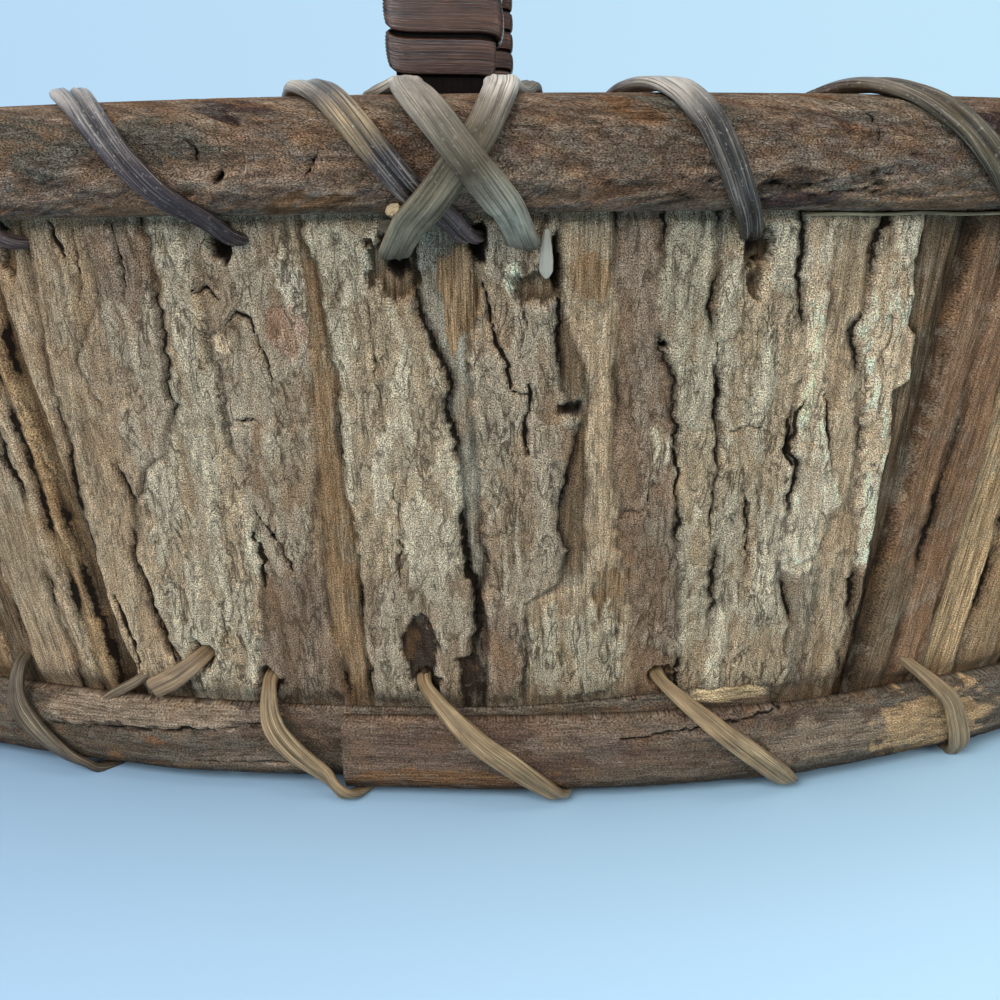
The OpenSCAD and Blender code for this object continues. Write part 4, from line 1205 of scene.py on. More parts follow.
@dataclass
class Strand:
    """A flat cane carried along a line of points.

    Attributes:
        points: points that its middle line passes through.
        faces: direction that its rounded face looks in at each point.
        tones: hex colour at each point.
        width: width of the cane.
        thickness: thickness of the cane.
        swell: factor on the width at each point.
        groove: depth of a lengthwise groove.
        groove_at: place of the groove across, from -1 to 1.
        seed: what its unevenness is drawn from.
        steps: rings between two points.
        sides: points of a ring.
    """

    points: Array
    faces: Array
    tones: list[str]
    width: float
    thickness: float
    swell: list[float] | None = None
    groove: float = 0.0
    groove_at: float = 0.0
    seed: float = 1.0
    steps: int = 12
    sides: int = 32

    @classmethod
    def through(cls, spots: list[Spot], *rest: Any, **more: Any) -> "Strand":
        """A strand through spots, each a point and the way that its rounded face looks there."""
        points, faces = (np.array(column) for column in zip(*spots))
        return cls(points, faces, *rest, **more)

    def line(self, values: Array) -> Array:
        """Smooth curve through values: between each pair, a cubic that leans on the two beyond."""
        ends = np.concatenate([2 * values[:1] - values[1:2], values, 2 * values[-1:] - values[-2:-1]])
        t = (np.arange(self.steps) / self.steps)[None, :, None]
        a, b, c, d = (ends[k:len(ends) - 3 + k][:, None] for k in range(4))
        curve = 0.5 * (2 * b + (c - a) * t + (2 * a - 5 * b + 4 * c - d) * t ** 2
                       + (3 * b - a - 3 * c + d) * t ** 3)
        return np.concatenate([curve.reshape(-1, values.shape[1]), values[-1:]])

    def skin(self) -> Skin:
        """Carries a flattened oval along the curve, ribbed along its length, grooved and a little uneven.

        Returns:
            The strand's surface.
        """
        middle = self.line(self.points)
        along = unit(np.gradient(middle, axis=0))
        face = self.line(self.faces)
        side = unit(np.cross(along, face))
        face = np.cross(side, along)
        run = lengths(middle)
        angle = np.linspace(0, 2 * math.pi, self.sides, endpoint=False)
        x, y = squared(np.cos(angle), 0.8), squared(np.sin(angle), 0.75)
        noise = Noise(self.seed)
        place = np.arange(len(run)) / self.steps
        knots = np.arange(len(self.points))
        wide = np.interp(place, knots, self.swell or np.ones(len(knots)))[:, None]
        uneven = wide * (1 + 0.06 * noise.at(run / 11)[:, None])
        ribs = 0.2 * noise.at(run[:, None] / 26, np.arange(self.sides)[None, :] * 1.7)
        across = self.width / 2 * x[None, :] * uneven
        through = self.thickness / 2 * y[None, :] * (1 + ribs) * (1 + 0.08 * noise.at(run / 8 + 40)[:, None])
        wander = self.groove_at + 0.12 * noise.at(run / 14 + 70)[:, None]
        hollow = np.exp(-((x[None, :] - wander) / 0.13) ** 2) * (y > 0)
        through = through - self.groove * hollow
        points = middle[:, None] + side[:, None] * across[..., None] + face[:, None] * through[..., None]
        light = np.array([linear(tone)[:3] for tone in self.tones])
        base = np.stack([np.interp(place, knots, light[:, k]) for k in range(3)], axis=-1)[:, None]
        mottle = 1 + 0.3 * noise.rough(run[:, None] / 7 + 5, x[None, :] * 2.2)
        apart = min(1.0, self.groove) * 0.3 * np.tanh((x[None, :] - wander) / 0.1)
        halves = 1 + apart * noise.at(run / 17)[:, None]
        marks = {"tint": np.clip(base * (mottle * halves)[..., None], 0.005, 1),
                 "furrow": min(1.0, self.groove * 1.3) * hollow}
        section = np.stack([self.width / 2 * x, self.thickness / 2 * y], axis=-1)
        return Skin(points, swept(run, section), marks)


@dataclass
class RimLashing:
    """Two cane strands that whip the rims to the wall, and the crossed ties of the handle."""

    cane: tuple[float, float] = (5.4, 2.4)
    tie: tuple[float, float] = (6.2, 2.6)
    hole_drop: float = 14.2
    front: tuple[tuple[float, float], ...] = ((37.7, 18.8), (77.0, 36.5))
    back: tuple[tuple[float, float], ...] = ((-68.4, 29.4), (-24.0, 28.0))
    side_stitches: int = 6
    side_reach: float = 32.0
    climb_from: float = -138.0
    climb_step: float = -38.0
    glue_run: float = 17.1

    def round_rim(self, run: float, centre: float, angle: float, reach: float) -> Spot:
        """Point round the rims in the wall's section, and the way its strand faces."""
        core = OVAL.wall(run, centre, OVAL.rim_up, OVAL.rim_grow)
        turn = math.radians(angle)
        point = OVAL.wall(run, centre + reach * math.cos(turn), OVAL.rim_up + reach * math.sin(turn),
                          OVAL.rim_grow)
        return point, unit(point - core)

    @property
    def inside(self) -> float:
        """Distance of the whipping from the middle of the inner rim's flat."""
        return OVAL.inner_rim + self.cane[1] / 2 + 0.6

    def climb(self, run: float, step: int) -> Spot:
        """Spot of the whipping on its way up inside, counted from 0 at the hole to 3 at the top."""
        return self.round_rim(run, -OVAL.bark, self.climb_from + self.climb_step * step, self.inside)

    def stitches(self) -> list[tuple[float, float]]:
        """Run at which each stitch comes over the rims, and how far on its hole is, from front to back."""
        half = OVAL.half_girth(OVAL.rim_grow)
        last = [(run + half, reach) for run, reach in self.back]
        between = np.linspace(self.front[1][0], last[0][0], self.side_stitches + 2)[1:-1]
        return [*self.front, *((float(run), self.side_reach) for run in between), *last]

    def whip(self) -> Strand:
        """One strand: each stitch goes over, slants down outside, in at a hole and up inside to the next."""
        outside = OVAL.outer_rim + self.cane[1] / 2 + 0.4
        dull = "#5a4a42"
        # Tones down the outside of each stitch: a grey furry top, made paler where it faces up as a painted
        # highlight, then rubbed brown, then glossy plum
        pale = ("#b3a99c", "#a3998d", "#352d27", "#453c34", "#524840", "#3b322b")
        tan = ("#5a4d3b", "#574a39", "#55472f", "#54462f", "#4e402d", "#463927")
        dark = ("#9b9188", "#7a726c", "#3b3538", "#3d3232", "#48393a", "#3c2e2d")
        brown = ("#aca294", "#665a50", "#9c845f", "#352c2b", "#3d302c", "#5c4946")
        stitches = self.stitches()
        looks = [pale, tan, *(tan, pale, brown) * 2, dark, brown]
        start = stitches[0][0]
        spots = [self.climb(start - 14 + 3.4 * k, k) for k in (1, 2, 3)]
        tones, swell = [dull] * 3, [1.0, 1.0, 1.2]
        for (top, reach), after, look in zip(stitches, [*stitches[1:], None], looks):
            hole = top + reach
            spots += [self.round_rim(top + reach * (90 - a) / 175, 0, a, outside)
                      for a in (90, 60, 30, 0, -30, -60)]
            tones += look
            swell += [1.25, 1.05, 0.98, 0.95, 0.95, 0.9]
            spots += [self.round_rim(hole - 0.5, 0, -84, self.hole_drop),
                      self.round_rim(hole + 0.5, -OVAL.bark, -96, self.hole_drop)]
            if after is None:
                spots.append(self.round_rim(hole - 3, -OVAL.bark, -140, self.inside + 1))
            else:
                spots += [self.climb(hole + 3 + (after[0] - hole - 7) * k / 3, k) for k in range(4)]
            more = len(spots) - len(tones)
            tones += [look[-1]] * 2 + [dull] * (more - 2)
            swell += [0.8] + [1.0] * (more - 1)
        return Strand.through(spots, tones, *self.cane, swell, 0.8, -0.1, 4.0)

    def cross(self) -> Strand:
        """The crossed tie: up to the right, down inside, out and back over itself to the left."""
        outside = OVAL.outer_rim + self.tie[1] / 2 + 0.5
        inside = OVAL.inner_rim + self.tie[1] / 2 + 1.0
        left, right, low, layer, bark = -9.7, 14.0, 15.5, 3.0, -OVAL.bark
        limbs = (((-5.8, -2, 2.8, 6.5, 8.6, 9.9, 10.2), (0.8, 1.1, 0.6, 0.1, 0, 0, 0)),
                 ((11.6, 9.9, 5.6, 0.5, -3.3, -5.6, -6.8), (0.3, 1.1, 1.7, 1.4, 0.6, 0.1, 0)))
        rising, falling = ([self.round_rim(run, 0, -52 + 142 * k / 6, outside + lift * layer)
                            for k, (run, lift) in enumerate(zip(*limb))] for limb in limbs)
        spots = [self.round_rim(left + 1, bark, -103, low + 1), self.round_rim(left, 0, -86, low + 1.5),
                 *rising,
                 self.round_rim(12.2, bark, 88, inside - 1.2),
                 *(self.round_rim(15 + 0.5 * k, bark, 135 + 37 * k, inside + layer) for k in range(4)),
                 self.round_rim(right, bark, -96, low), self.round_rim(right, 0, -84, low), *falling,
                 self.round_rim(-11.4, bark, 88, inside - 1.2),
                 *(self.round_rim(-13.6 + 1.4 * k, bark, 135 + 33 * k, inside) for k in range(4)),
                 self.round_rim(left + 0.3, bark, -112, low - 3), self.round_rim(left + 0.6, 0, -78, low - 3)]
        # Tones along each limb from its low end to its top, partly painted light: the low end of the falling
        # limb, which faces down, is lighter against its shade, parts of the middles are darker against the
        # light, and the near-white tops are a painted reflection
        fall = ["#aba28e", "#a69c86", "#4a4030", "#6b6254", "#887f72", "#a39b8f", "#b8afa2"]
        rise = ["#857a64", "#625845", "#5a503e", "#584e3e", "#7a7063", "#c6beb2", "#d6cfc4"]
        hidden = ["#6a604f"] * 7
        return Strand.through(spots, hidden[:2] + rise + hidden + fall + hidden, *self.tie, seed=9.0)

    def build(self) -> None:
        """Makes the whipping and the crossed ties, front and back."""
        # Split cane rubbed by hands: dark fine lines along it, glossy in the worn parts
        dark = LongGrain("rubbed dark split cane", "#17100d", "#c4b8a8", line=0.3, deep=0.85, rubbed=0.4,
                         rough=0.34, gloss=0.3, depth=0.35, dust=0.4)
        # Smoother cane with fine even lines
        olive = LongGrain("smooth olive cane", "#3a2f22", "#c0b5a0", line=0.28, long=20.0, deep=0.75,
                          rubbed=0.22, gloss=0.18, depth=0.35, dust=0.25)
        for name, strand, finish, slot in (("rim_lash_{}_cane", self.whip(), dark, "dark_cane"),
                                           ("handle_lash_{}_cane", self.cross(), olive, "olive_cane")):
            skin, material = strand.skin(), finish.material()
            turned = Skin(turned_half(skin.points), skin.lay, skin.marks)
            sides = ("right", "left") if slot == "dark_cane" else ("front", "back")
            for side, piece in zip(sides, (skin, turned)):
                piece.make(name.format(side), material, slot, (name.format(side).removesuffix("_cane"),))
        stub = [(OVAL.wall(*place), UPWARDS)
                for place in ((-5.2, 4.5, 123.4), (-6.8, 6.3, 124.7), (-8.4, 8.2, 126.4))]
        strand = Strand.through(stub, ["#6b5a42", "#8a7454", "#c2ab84"], 3.2, 2.4, seed=10.0)
        strand.skin().make("handle_lash_stub", olive.material(), "olive_cane")
        # A hardened clear drop of glue that runs down from the tie and catches white light
        glue, tree, shader = blank("hardened clear glue")
        join(tree, shader, {"Base Color": linear("#d9d0bc"), "Roughness": 0.08, "Transmission Weight": 0.6})
        drop = [(OVAL.wall(self.glue_run, *place), OVAL.outward(self.glue_run))
                for place in ((1.6, 122), (1.9, 119), (2, 116.5), (1.8, 114.5), (1.4, 113.4))]
        strand = Strand.through(drop, ["#ffffff"] * len(drop), 2.6, 1.6, [0.4, 0.8, 1.0, 1.0, 0.4], seed=12.0)
        strand.skin().make("handle_lash_glue", glue, "olive_cane")


# Patches on the outer rim. The dark cores of the sunk ones are painted shade in pits.
RIM_BLOTS = (
    Blot(-14, -40, 1.4, 26, Tone.BUFF, -0.3),
    Blot(-12, 29, 1.6, 9, Tone.SEPIA, -0.2, 0.8),
    Blot(11, 63, 4.6, 15, Tone.BUFF, -0.6),
    Blot(8.5, 27, 4, 8, Tone.ASH, -0.6),
    Blot(4, -68, 4, 8, Tone.ASH),
    Blot(10.8, -47.5, 2.6, 3.8, Tone.PLUM, -0.6),
    Blot(8.5, -53.5, 2.4, 2.4, Tone.PLUM, 0.8, 0.2, 0.3),
    Blot(-2.9, -59, 0.9, 0.6, Tone.DARK_BROWN, 1.0, 0.0, 1.0),
    Blot(-9.5, -39, 3.2, 7, Tone.RUST, 0.3, 0.9),
    Blot(8.5, 16.5, 3.2, 3.4, Tone.RUST, 0.2, 0.9),
    Blot(12.8, 55.5, 1.4, 1.6, Tone.RUST, 0.2, 0.6),
    Blot(-10, 46, 3.0, 7, Tone.PLUM, 0.1, 0.3),
    Blot(-9.5, -68, 3.4, 14, Tone.RUSSET, -0.3, 0.4),
    Blot(-10, 76, 3.0, 10, Tone.RUSSET, -0.2, 0.5),
    Blot(5, -92, 6, 10, Tone.ASH, -0.2),
    Blot(-4.5, 39.5, 2.2, 5.5, Tone.DARK_BROWN, 0.2),
    Blot(4.7, 79, 3.5, 7, Tone.PLUM, 0.3, 0.1, 0.2),
)
RIM_CRACKS = (
    Crack(((3.7, -63.5), (1.8, -63), (0, -63.5)), 1.0, 0.4),
    Crack(((0.8, -42), (-1, -43.2), (-2.9, -44)), 1.0, 0.4),
    Crack(((12.8, 56.5), (7, 56), (2.6, 54)), 0.9, 0.4),
    Crack(((-6.3, 53.5), (-6, 56), (-5.5, 58.5)), 0.9, 0.35),
    Crack(((-3.4, 78.5), (-2.6, 86), (-1.8, 93.5)), 0.9, 0.4),
    Crack(((-13, -66), (-12.6, -58), (-13, -50)), 0.9, 0.4),
    Crack(((4.5, 23.5), (5, 25), (5.8, 26)), 0.9, 0.35),
)


@dataclass
class Rims:
    """Half-round split saplings outside and inside the wall's top edge, and the splint packed under one."""

    scarf_slant: float = 2.2
    scarf_run: float = 118.0
    scarf_gap: float = 0.3
    front_reach: float = 100.0
    fine: float = 0.5
    coarse: float = 1.5
    sides: int = 60
    hidden: int = 6
    shim_ends: tuple[float, float] = (66.0, 196.0)
    shim_rings: int = 140

    def rings(self, start: float, whole: float) -> Array:
        """Runs of the rings from start to start + whole, close together at the front only."""
        front, reach = OVAL.girth(OVAL.rim_grow), self.front_reach
        return np.concatenate([np.arange(start, front - reach - 1, self.coarse),
                               np.arange(front - reach, front + reach, self.fine),
                               np.arange(front + reach + 1, start + whole, self.coarse), [start + whole]])

    def sapling(self, start: float, radius: float, centre: float, side: int, level: float,
                seed: float) -> Skin:
        """Half-round section carried round the outline, coated with thin bark.

        The section is a half circle whose flat lies against the wall. It is pushed out by lumps stretched
        along the run, by patches and by splits.

        Args:
            start: run of the scarf.
            radius: radius of the half-round.
            centre: where the flat lies, out from the wall's outer face.
            side: 1 outside the wall, -1 inside.
            level: height of its middle up the wall.
            seed: what its bark is drawn from.

        Returns:
            The rim's surface.
        """
        whole = OVAL.girth(OVAL.rim_grow)
        run = self.rings(start + self.scarf_gap, whole - 2 * self.scarf_gap)
        turn = np.radians(np.linspace(-90, 90, self.sides - self.hidden))
        out = np.concatenate([np.cos(turn) ** 0.72 * radius * 0.97, np.zeros(self.hidden)])
        high = np.concatenate([np.sin(turn), np.linspace(0.8, -0.8, self.hidden)]) * radius
        out = np.maximum(out, 0.2)
        arc = np.concatenate([turn * radius, np.linspace(radius * 1.6, radius * 2.6, self.hidden)])
        shown = np.concatenate([np.maximum(np.cos(turn), 0) ** 0.5, np.zeros(self.hidden)])[None, :]
        a, s = np.broadcast_arrays(arc[None, :], run[:, None] - whole)
        noise = Noise(seed)
        coat = Coat(a, s, noise)
        coat.ground(Tone.HAZEL)
        coat.fibre[:] = 0.2
        coat.rise += 0.6 * noise.rough(s / 24, a / 7) + 0.32 * noise.rough(s / 4, a / 2.2 + 4)
        coat.patches((Tone.PLUM, Tone.ASH, Tone.RUST, Tone.SEPIA, Tone.BUFF), wide=5.0, long=12.0, cover=0.6)
        coat.patches((Tone.SEPIA, Tone.BUFF, Tone.PLUM), wide=1.6, long=3.6, cover=0.5)
        coat.flakes(wide=4.0, long=9.0, high=0.55)
        coat.grooves(long=45, wide=5.5, gap=28)
        if side > 0:
            coat.blots(RIM_BLOTS)
            coat.cracks(RIM_CRACKS)
        marks = coat.finished()
        push = coat.rise * shown
        depth = np.maximum(out[None, :] * (1 + push / radius), 0.2)
        up = level + side * high[None, :] * (1 + 0.4 * push / radius)
        points = OVAL.wall(run[:, None] + self.scarf_slant * out[None, :], centre + side * depth, up,
                           OVAL.rim_grow)
        return Skin(points, closed(np.stack([a, s], axis=-1)), marks)

    def build(self) -> None:
        """Makes both rims and the splint."""
        # Thin sapling bark: smoother than the wall, brown and plum with grey and ochre patches
        finish = Bark("split sapling with its bark on", speck=0.24, stretch=1.7, contrast=0.9, hair=0.75,
                      hair_gap=1.5, hair_long=7.0, blotch=4.0, warm="#96704f", grey="#8f867a", shift=0.5,
                      net=0.9, mesh=2.4, rough=0.8, depth=0.7)
        sapling = finish.material()
        half = OVAL.half_girth(OVAL.rim_grow)
        outer = self.sapling(half - self.scarf_run, OVAL.outer_rim, 0, 1, OVAL.rim_up, 11.0)
        outer.make("rim_outer_sapling", sapling, "sapling", ("rim_outer",))
        inner = self.sapling(self.scarf_run, OVAL.inner_rim, -OVAL.bark, -1, OVAL.rim_up - 0.5, 12.0)
        inner.make("rim_inner_sapling", sapling, "sapling", ("rim_inner",))
        run = np.linspace(*self.shim_ends, self.shim_rings)
        section = np.array([[0.4, -1.0], [1.2, -1.05], [1.9, -0.9], [2.0, -0.7], [1.9, -0.4], [0.4, -0.3]])
        wave = 0.15 * Noise(5.0).at(run / 9)[:, None]
        points = OVAL.wall(run[:, None], section[None, :, 0], OVAL.rim_foot + section[None, :, 1] + wave,
                           OVAL.rim_grow)
        # A thin pale splint that catches the light under the rim
        splint = LongGrain("pale cane splint", "#4f3d26", "#d8c79c", long=14.0, deep=0.9, rubbed=0.4,
                           rough=0.6, gloss=0.2)
        skin = Skin(points, swept(run, section), plain(points, Tone.STRAW.light * 0.6))
        skin.make("rim_shim_splint", splint.material(), "splint", ("rim_shim",))


HOOP_END_BLOTS = (
    Blot(15.5, -68, 2.6, 27, Tone.BUFF, -0.4, 0.6),
    Blot(15, -88, 2.6, 8, Tone.BUFF, 0.4, 0.9),
    Blot(8.9, -68, 1.4, 2.5, Tone.RUST),
    Blot(3.7, -78.5, 1.3, 2, Tone.RUST),
    Blot(3, -46, 1.4, 14, Tone.BUFF, 0.0, 0.6),
    Blot(16.8, 57, 1.5, 9, Tone.STRAW, -0.4, 0.9),
)
HOOP_END_CRACKS = (
    Crack(((10.5, -93.5), (12.3, -64.5), (14.6, -41)), 1.0, 0.45),
    Crack(((4.8, -60), (4.4, -46), (4.9, -33)), 0.8, 0.35),
)
HOOP_START_BLOTS = (
    Blot(3.5, -4, 3, 22, Tone.RUST, 0.0, 0.9),
    Blot(9, 106, 8, 14, Tone.OCHRE, 0.0, 0.4),
    Blot(10, 76, 5, 15, Tone.BUFF, 0.0, 0.3),
)
HOOP_START_CRACKS = (
    Crack(((13.7, 33), (15.3, 48), (17.8, 68)), 1.0, 0.45),
)


@dataclass
class Foot:
    """The hoop round the foot, the cane that whips it on, and the floor panel."""

    start: float = -25.0
    lap: float = 92.0
    width: float = 18.0
    thickness: float = 5.5
    tail_thickness: float = 2.8
    hole_up: float = 26.5
    inset: float = 16.0
    cane: tuple[float, float] = (4.8, 2.0)
    front_holes: tuple[float, ...] = (-101.5, -41.0, -7.0, 43.0, 99.5)
    front_drops: tuple[float, ...] = (16.5, 19.0, 29.5, 30.0, 16.0)
    front_bows: tuple[float, ...] = (1.9, 1.9, 0.87, 0.87, 0.55)
    end_drop: float = 20.0
    end_count: int = 4
    tail_hole: tuple[float, float] = (-56.0, 31.5)
    shown_right: float = 120.0
    shown_left: float = 110.0
    tail_from: float = 20.0
    fine: float = 0.55
    coarse: float = 1.6
    sides: int = 44
    hidden: int = 4
    floor_top: float = 8.0
    floor_foot: float = 3.0

    def lift(self, run: Array) -> Array:
        """How far the hoop stands off the wall to clear its own tail."""
        off = (self.tail_thickness + 0.5) * (1 - ease((run - self.start - self.lap) / 45))
        return np.where(run < self.start - 1, 0.0, off)

    def rings(self, end: float) -> Array:
        """Runs of the rings, close together where the photograph shows the hoop."""
        right, left, tail = self.shown_right, OVAL.girth() - self.shown_left, OVAL.girth() - self.tail_from
        return np.concatenate([np.arange(self.start, right, self.fine),
                               np.arange(right + 1, left - 1, self.coarse), np.arange(left, tail, self.fine),
                               np.arange(tail + 1, end, 2.0), [end]])

    def coat(self, across: Array, run: Array) -> Coat:
        """Paints the hoop: bark with patches and long splits, shaved and warmer after its sawn end."""
        whole = OVAL.girth()
        noise = Noise(21.0)
        along = run - whole
        coat = Coat(across, along, noise)
        coat.ground(Tone.ASH)
        shaved = 0.7 * (1 - ease((run - self.start - 40) / 60))
        coat.tint += (Tone.SEPIA.light - coat.tint) * shaved[..., None]
        lumps = 0.45 * noise.rough(along / 20, across / 6) + 0.2 * noise.rough(along / 4, across / 2)
        coat.rise += lumps * (1 - shaved) + 0.14 * noise.rough(along / 30, across / 0.8)
        coat.fibre += 0.2 + 0.3 * shaved
        coat.patches((Tone.SEPIA, Tone.ASH, Tone.PLUM, Tone.SEPIA), wide=4.0, long=16.0, cover=0.45)
        coat.flakes(wide=4.5, long=18.0, high=0.35)
        coat.grooves(long=60, wide=6, gap=30, where=1 - shaved)
        first_blots = tuple(replace(blot, along=blot.along - whole) for blot in HOOP_START_BLOTS)
        first_cracks = tuple(replace(crack, path=tuple((a, v - whole) for a, v in crack.path))
                             for crack in HOOP_START_CRACKS)
        coat.blots(HOOP_END_BLOTS + first_blots)
        # Painted shade along its lower edge, where the hoop meets the table
        coat.tint *= (0.25 + 0.75 * ease((across - 1.6) / 3))[..., None]
        coat.cracks(HOOP_END_CRACKS + first_cracks)
        return coat

    def hoop(self) -> Skin:
        """Flattened section carried round the foot, from a square sawn end to a thin tail behind it.

        The section bulges to its thickness at the middle and is pushed out by its coat.

        Returns:
            The hoop's surface.
        """
        end = self.start + OVAL.girth() + self.lap
        run = self.rings(end)
        tail = ease((run - end + self.lap + 40) / 40)
        first = 1 - ease((run - self.start) / 60)
        thick = self.thickness + (self.tail_thickness - self.thickness) * tail - 1.5 * first
        rise = 3.4 * ease((run - end + self.lap * 0.7) / (self.lap * 0.7))
        turn = np.radians(np.linspace(-90, 90, self.sides - self.hidden))
        out = np.concatenate([np.maximum(np.cos(turn), 0) ** 0.55, np.zeros(self.hidden)])[None, :]
        share = np.concatenate([0.5 + 0.5 * np.sin(turn), np.linspace(0.8, 0.2, self.hidden)])
        across, s = np.broadcast_arrays(share[None, :] * self.width, run[:, None])
        coat = self.coat(across, s)
        marks = coat.finished()
        depth = (thick[:, None] + coat.rise) * out
        up = OVAL.wall_foot + 0.2 + rise[:, None] + share[None, :] * (self.width - 0.4)
        points = OVAL.wall(s, 0.4 + self.lift(s) + np.maximum(depth, 0.0), up)
        return Skin(points, closed(np.stack([across, s], axis=-1)), marks)

    def facing(self, run: float, point: Array) -> Spot:
        """A strand's point, and its direction away from the middle of the bound edge."""
        return point, unit(point - OVAL.wall(run, -OVAL.bark / 2, OVAL.wall_foot + self.width / 2))

    def whip(self, holes: list[float], drops: list[float], bows: list[float], seed: float) -> Strand:
        """One strand: out of each hole, over the hoop, under the foot, up through the panel, to the next."""
        crown, low, up = 7.6, 0.5, self.hole_up
        first = holes[0]
        spots = [self.facing(first, OVAL.wall(first - 6, -OVAL.bark - 5, up - 4)),
                 self.facing(first, OVAL.wall(first - 1, -OVAL.bark - 1.2, up + 0.3))]
        for hole, drop, bow, after in zip(holes, drops, bows, [*holes[1:], None]):
            spots.append(self.facing(hole, OVAL.wall(hole, 2.2, up)))
            for slack, fall in ((0.6, 0.26), (0, 0.52), (0.9, 0.78), (2.6, 0.92)):
                run = hole + drop * fall ** bow
                out = float(self.lift(np.array(run))) + crown - slack
                spots.append(self.facing(run, OVAL.wall(run, out, up + (1.5 - up) * fall)))
            under = hole + drop
            for step, radial, z in ((0.5, 1.8, 0), (6, -12.5, 0.1), (7.5, -self.inset - 0.4, 4.4),
                                    (8, -self.inset - 0.8, 9.4)):
                spots.append(self.facing(under + step, OVAL.place(under + step, radial, low + z)))
            rest = 10.0 if after is None else after - under - 8
            for share in ((0.5, 0.9) if after is None else (0.35, 0.7)):
                run = under + 8 + rest * share
                point = OVAL.place(run, -self.inset + 2 + 6.5 * share, 10 + 19 * share)
                spots.append(self.facing(run, point))
            if after is not None:
                spots.append(self.facing(after, OVAL.wall(after - 1, -OVAL.bark - 1.2, up + 0.3)))
        # Thin at the hole, full over the hoop, thin again where it goes under
        turn = [0.6, 0.95, 1.05, 1.05, 0.8, 0.55, 0.8, 1.0, 1.0, 1.0, 1.0, 0.8]
        swell = ([0.8, 0.8] + turn * len(holes))[:len(spots)]
        tones = (["#54483a"] * 9 + ["#8c7556"] * len(spots))[:len(spots)]
        return Strand.through(spots, tones, *self.cane, swell, 0.25, seed=seed)

    def panel(self) -> Skin:
        """Oval plate: rings shrunk towards the middle over the top, then back out underneath."""
        over, under, round_it = 40, 12, 240
        top, foot = self.floor_top, self.floor_foot
        share = np.concatenate([np.linspace(0.02, 0.985, over), [1.0, 1.0], np.linspace(0.985, 0.02, under)])
        z = np.concatenate([np.full(over, top), [top - 0.4, foot + 0.4], np.full(under, foot)])
        run = np.linspace(0, OVAL.girth(), round_it, endpoint=False)
        edge = OVAL.place(run, -OVAL.bark - 0.4, 0.0)
        points = edge[None] * share[:, None, None]
        relief = 0.25 * Noise(31.0).rough(points[..., 0] / 30, points[..., 1] / 4)
        points[..., 2] = z[:, None] + relief * (z == top)[:, None]
        return Skin(points, closed(points)[..., 1::-1], plain(points, Tone.BROWN.light * 0.8))

    def build(self) -> None:
        """Makes the hoop, its whipping, the tucked end and the panel."""
        # Split sapling with most of its bark left: grey-brown, finely streaked along its length
        finish = Bark("shaved sapling hoop", speck=0.24, stretch=2.0, contrast=0.8, hair_gap=1.4,
                      hair_long=12.0, blotch=4.5, warm="#8a6646", grey="#80786d", shift=0.3,
                      net=0.4, mesh=2.0, rough=0.8, gloss=0.12, depth=0.4)
        self.hoop().make("foot_hoop_sapling", finish.material(), "shaved_hoop", ("foot_hoop",))
        # Tan cane with dark lines along it and rubbed pale edges
        cane = LongGrain("tan split cane", "#45331f", "#d2be98", line=0.3, long=22.0, deep=0.75, rubbed=0.5,
                         rough=0.42, gloss=0.25, depth=0.3, dust=0.1).material()
        half = OVAL.half_girth()
        ends = list(np.linspace(self.front_holes[4], self.front_holes[0] + half, self.end_count + 2)[1:-1])
        long_side = list(self.front_drops), list(self.front_bows)
        short_side = [self.end_drop] * self.end_count, [1.0] * self.end_count
        sides = {"front": (list(self.front_holes), *long_side), "right": (ends, *short_side),
                 "back": ([h + half for h in self.front_holes], *long_side),
                 "left": ([h + half for h in ends], *short_side)}
        for seed, (name, side) in enumerate(sides.items()):
            skin = self.whip(*side, 50.0 + seed).skin()
            skin.points[..., 2] = np.maximum(skin.points[..., 2], 0.0)
            skin.make(f"foot_lash_{name}_cane", cane, "pale_cane", (f"foot_lash_{name}",))
        tail = ((-11.5, 3.2, -7.4), (-6, 3.4, -4.2), (-1.5, 3, -0.8), (0.6, -1.5, 0.6),
                (3, -OVAL.bark - 3, 2))
        hole, up = self.tail_hole
        spots = [(OVAL.wall(hole + run, out, up + more), OVAL.outward(hole)) for run, out, more in tail]
        strand = Strand.through(spots, ["#947a5e"] * len(tail), *self.cane, [1.0, 1.0, 0.85, 0.7, 0.8], 0.25,
                                seed=60.0)
        strand.skin().make("foot_lash_tail_cane", cane, "pale_cane", ("foot_lash_tail",))
        end = ((-83, 2.6, 18), (-77, 2.4, 22), (-72.5, 2, 24.6), (-70, -1, 26))
        spots = [(OVAL.wall(*place), OVAL.outward(end[1][0])) for place in end]
        strand = Strand.through(spots, ["#6b5a47"] * len(end), 2.4, 1.6, seed=61.0)
        strand.skin().make("foot_lash_thin_end", cane, "pale_cane")
        # Dull brown inner bark, flat and fibrous
        floor = LongGrain("flat inner bark", "#3b2a1c", "#8d7150", line=1.2, long=40.0, deep=0.6, rubbed=0.3,
                          rough=0.85, gloss=0.3, depth=0.2)
        self.panel().make("floor_panel_bark", floor.material(), "floor_bark", ("floor_panel",))


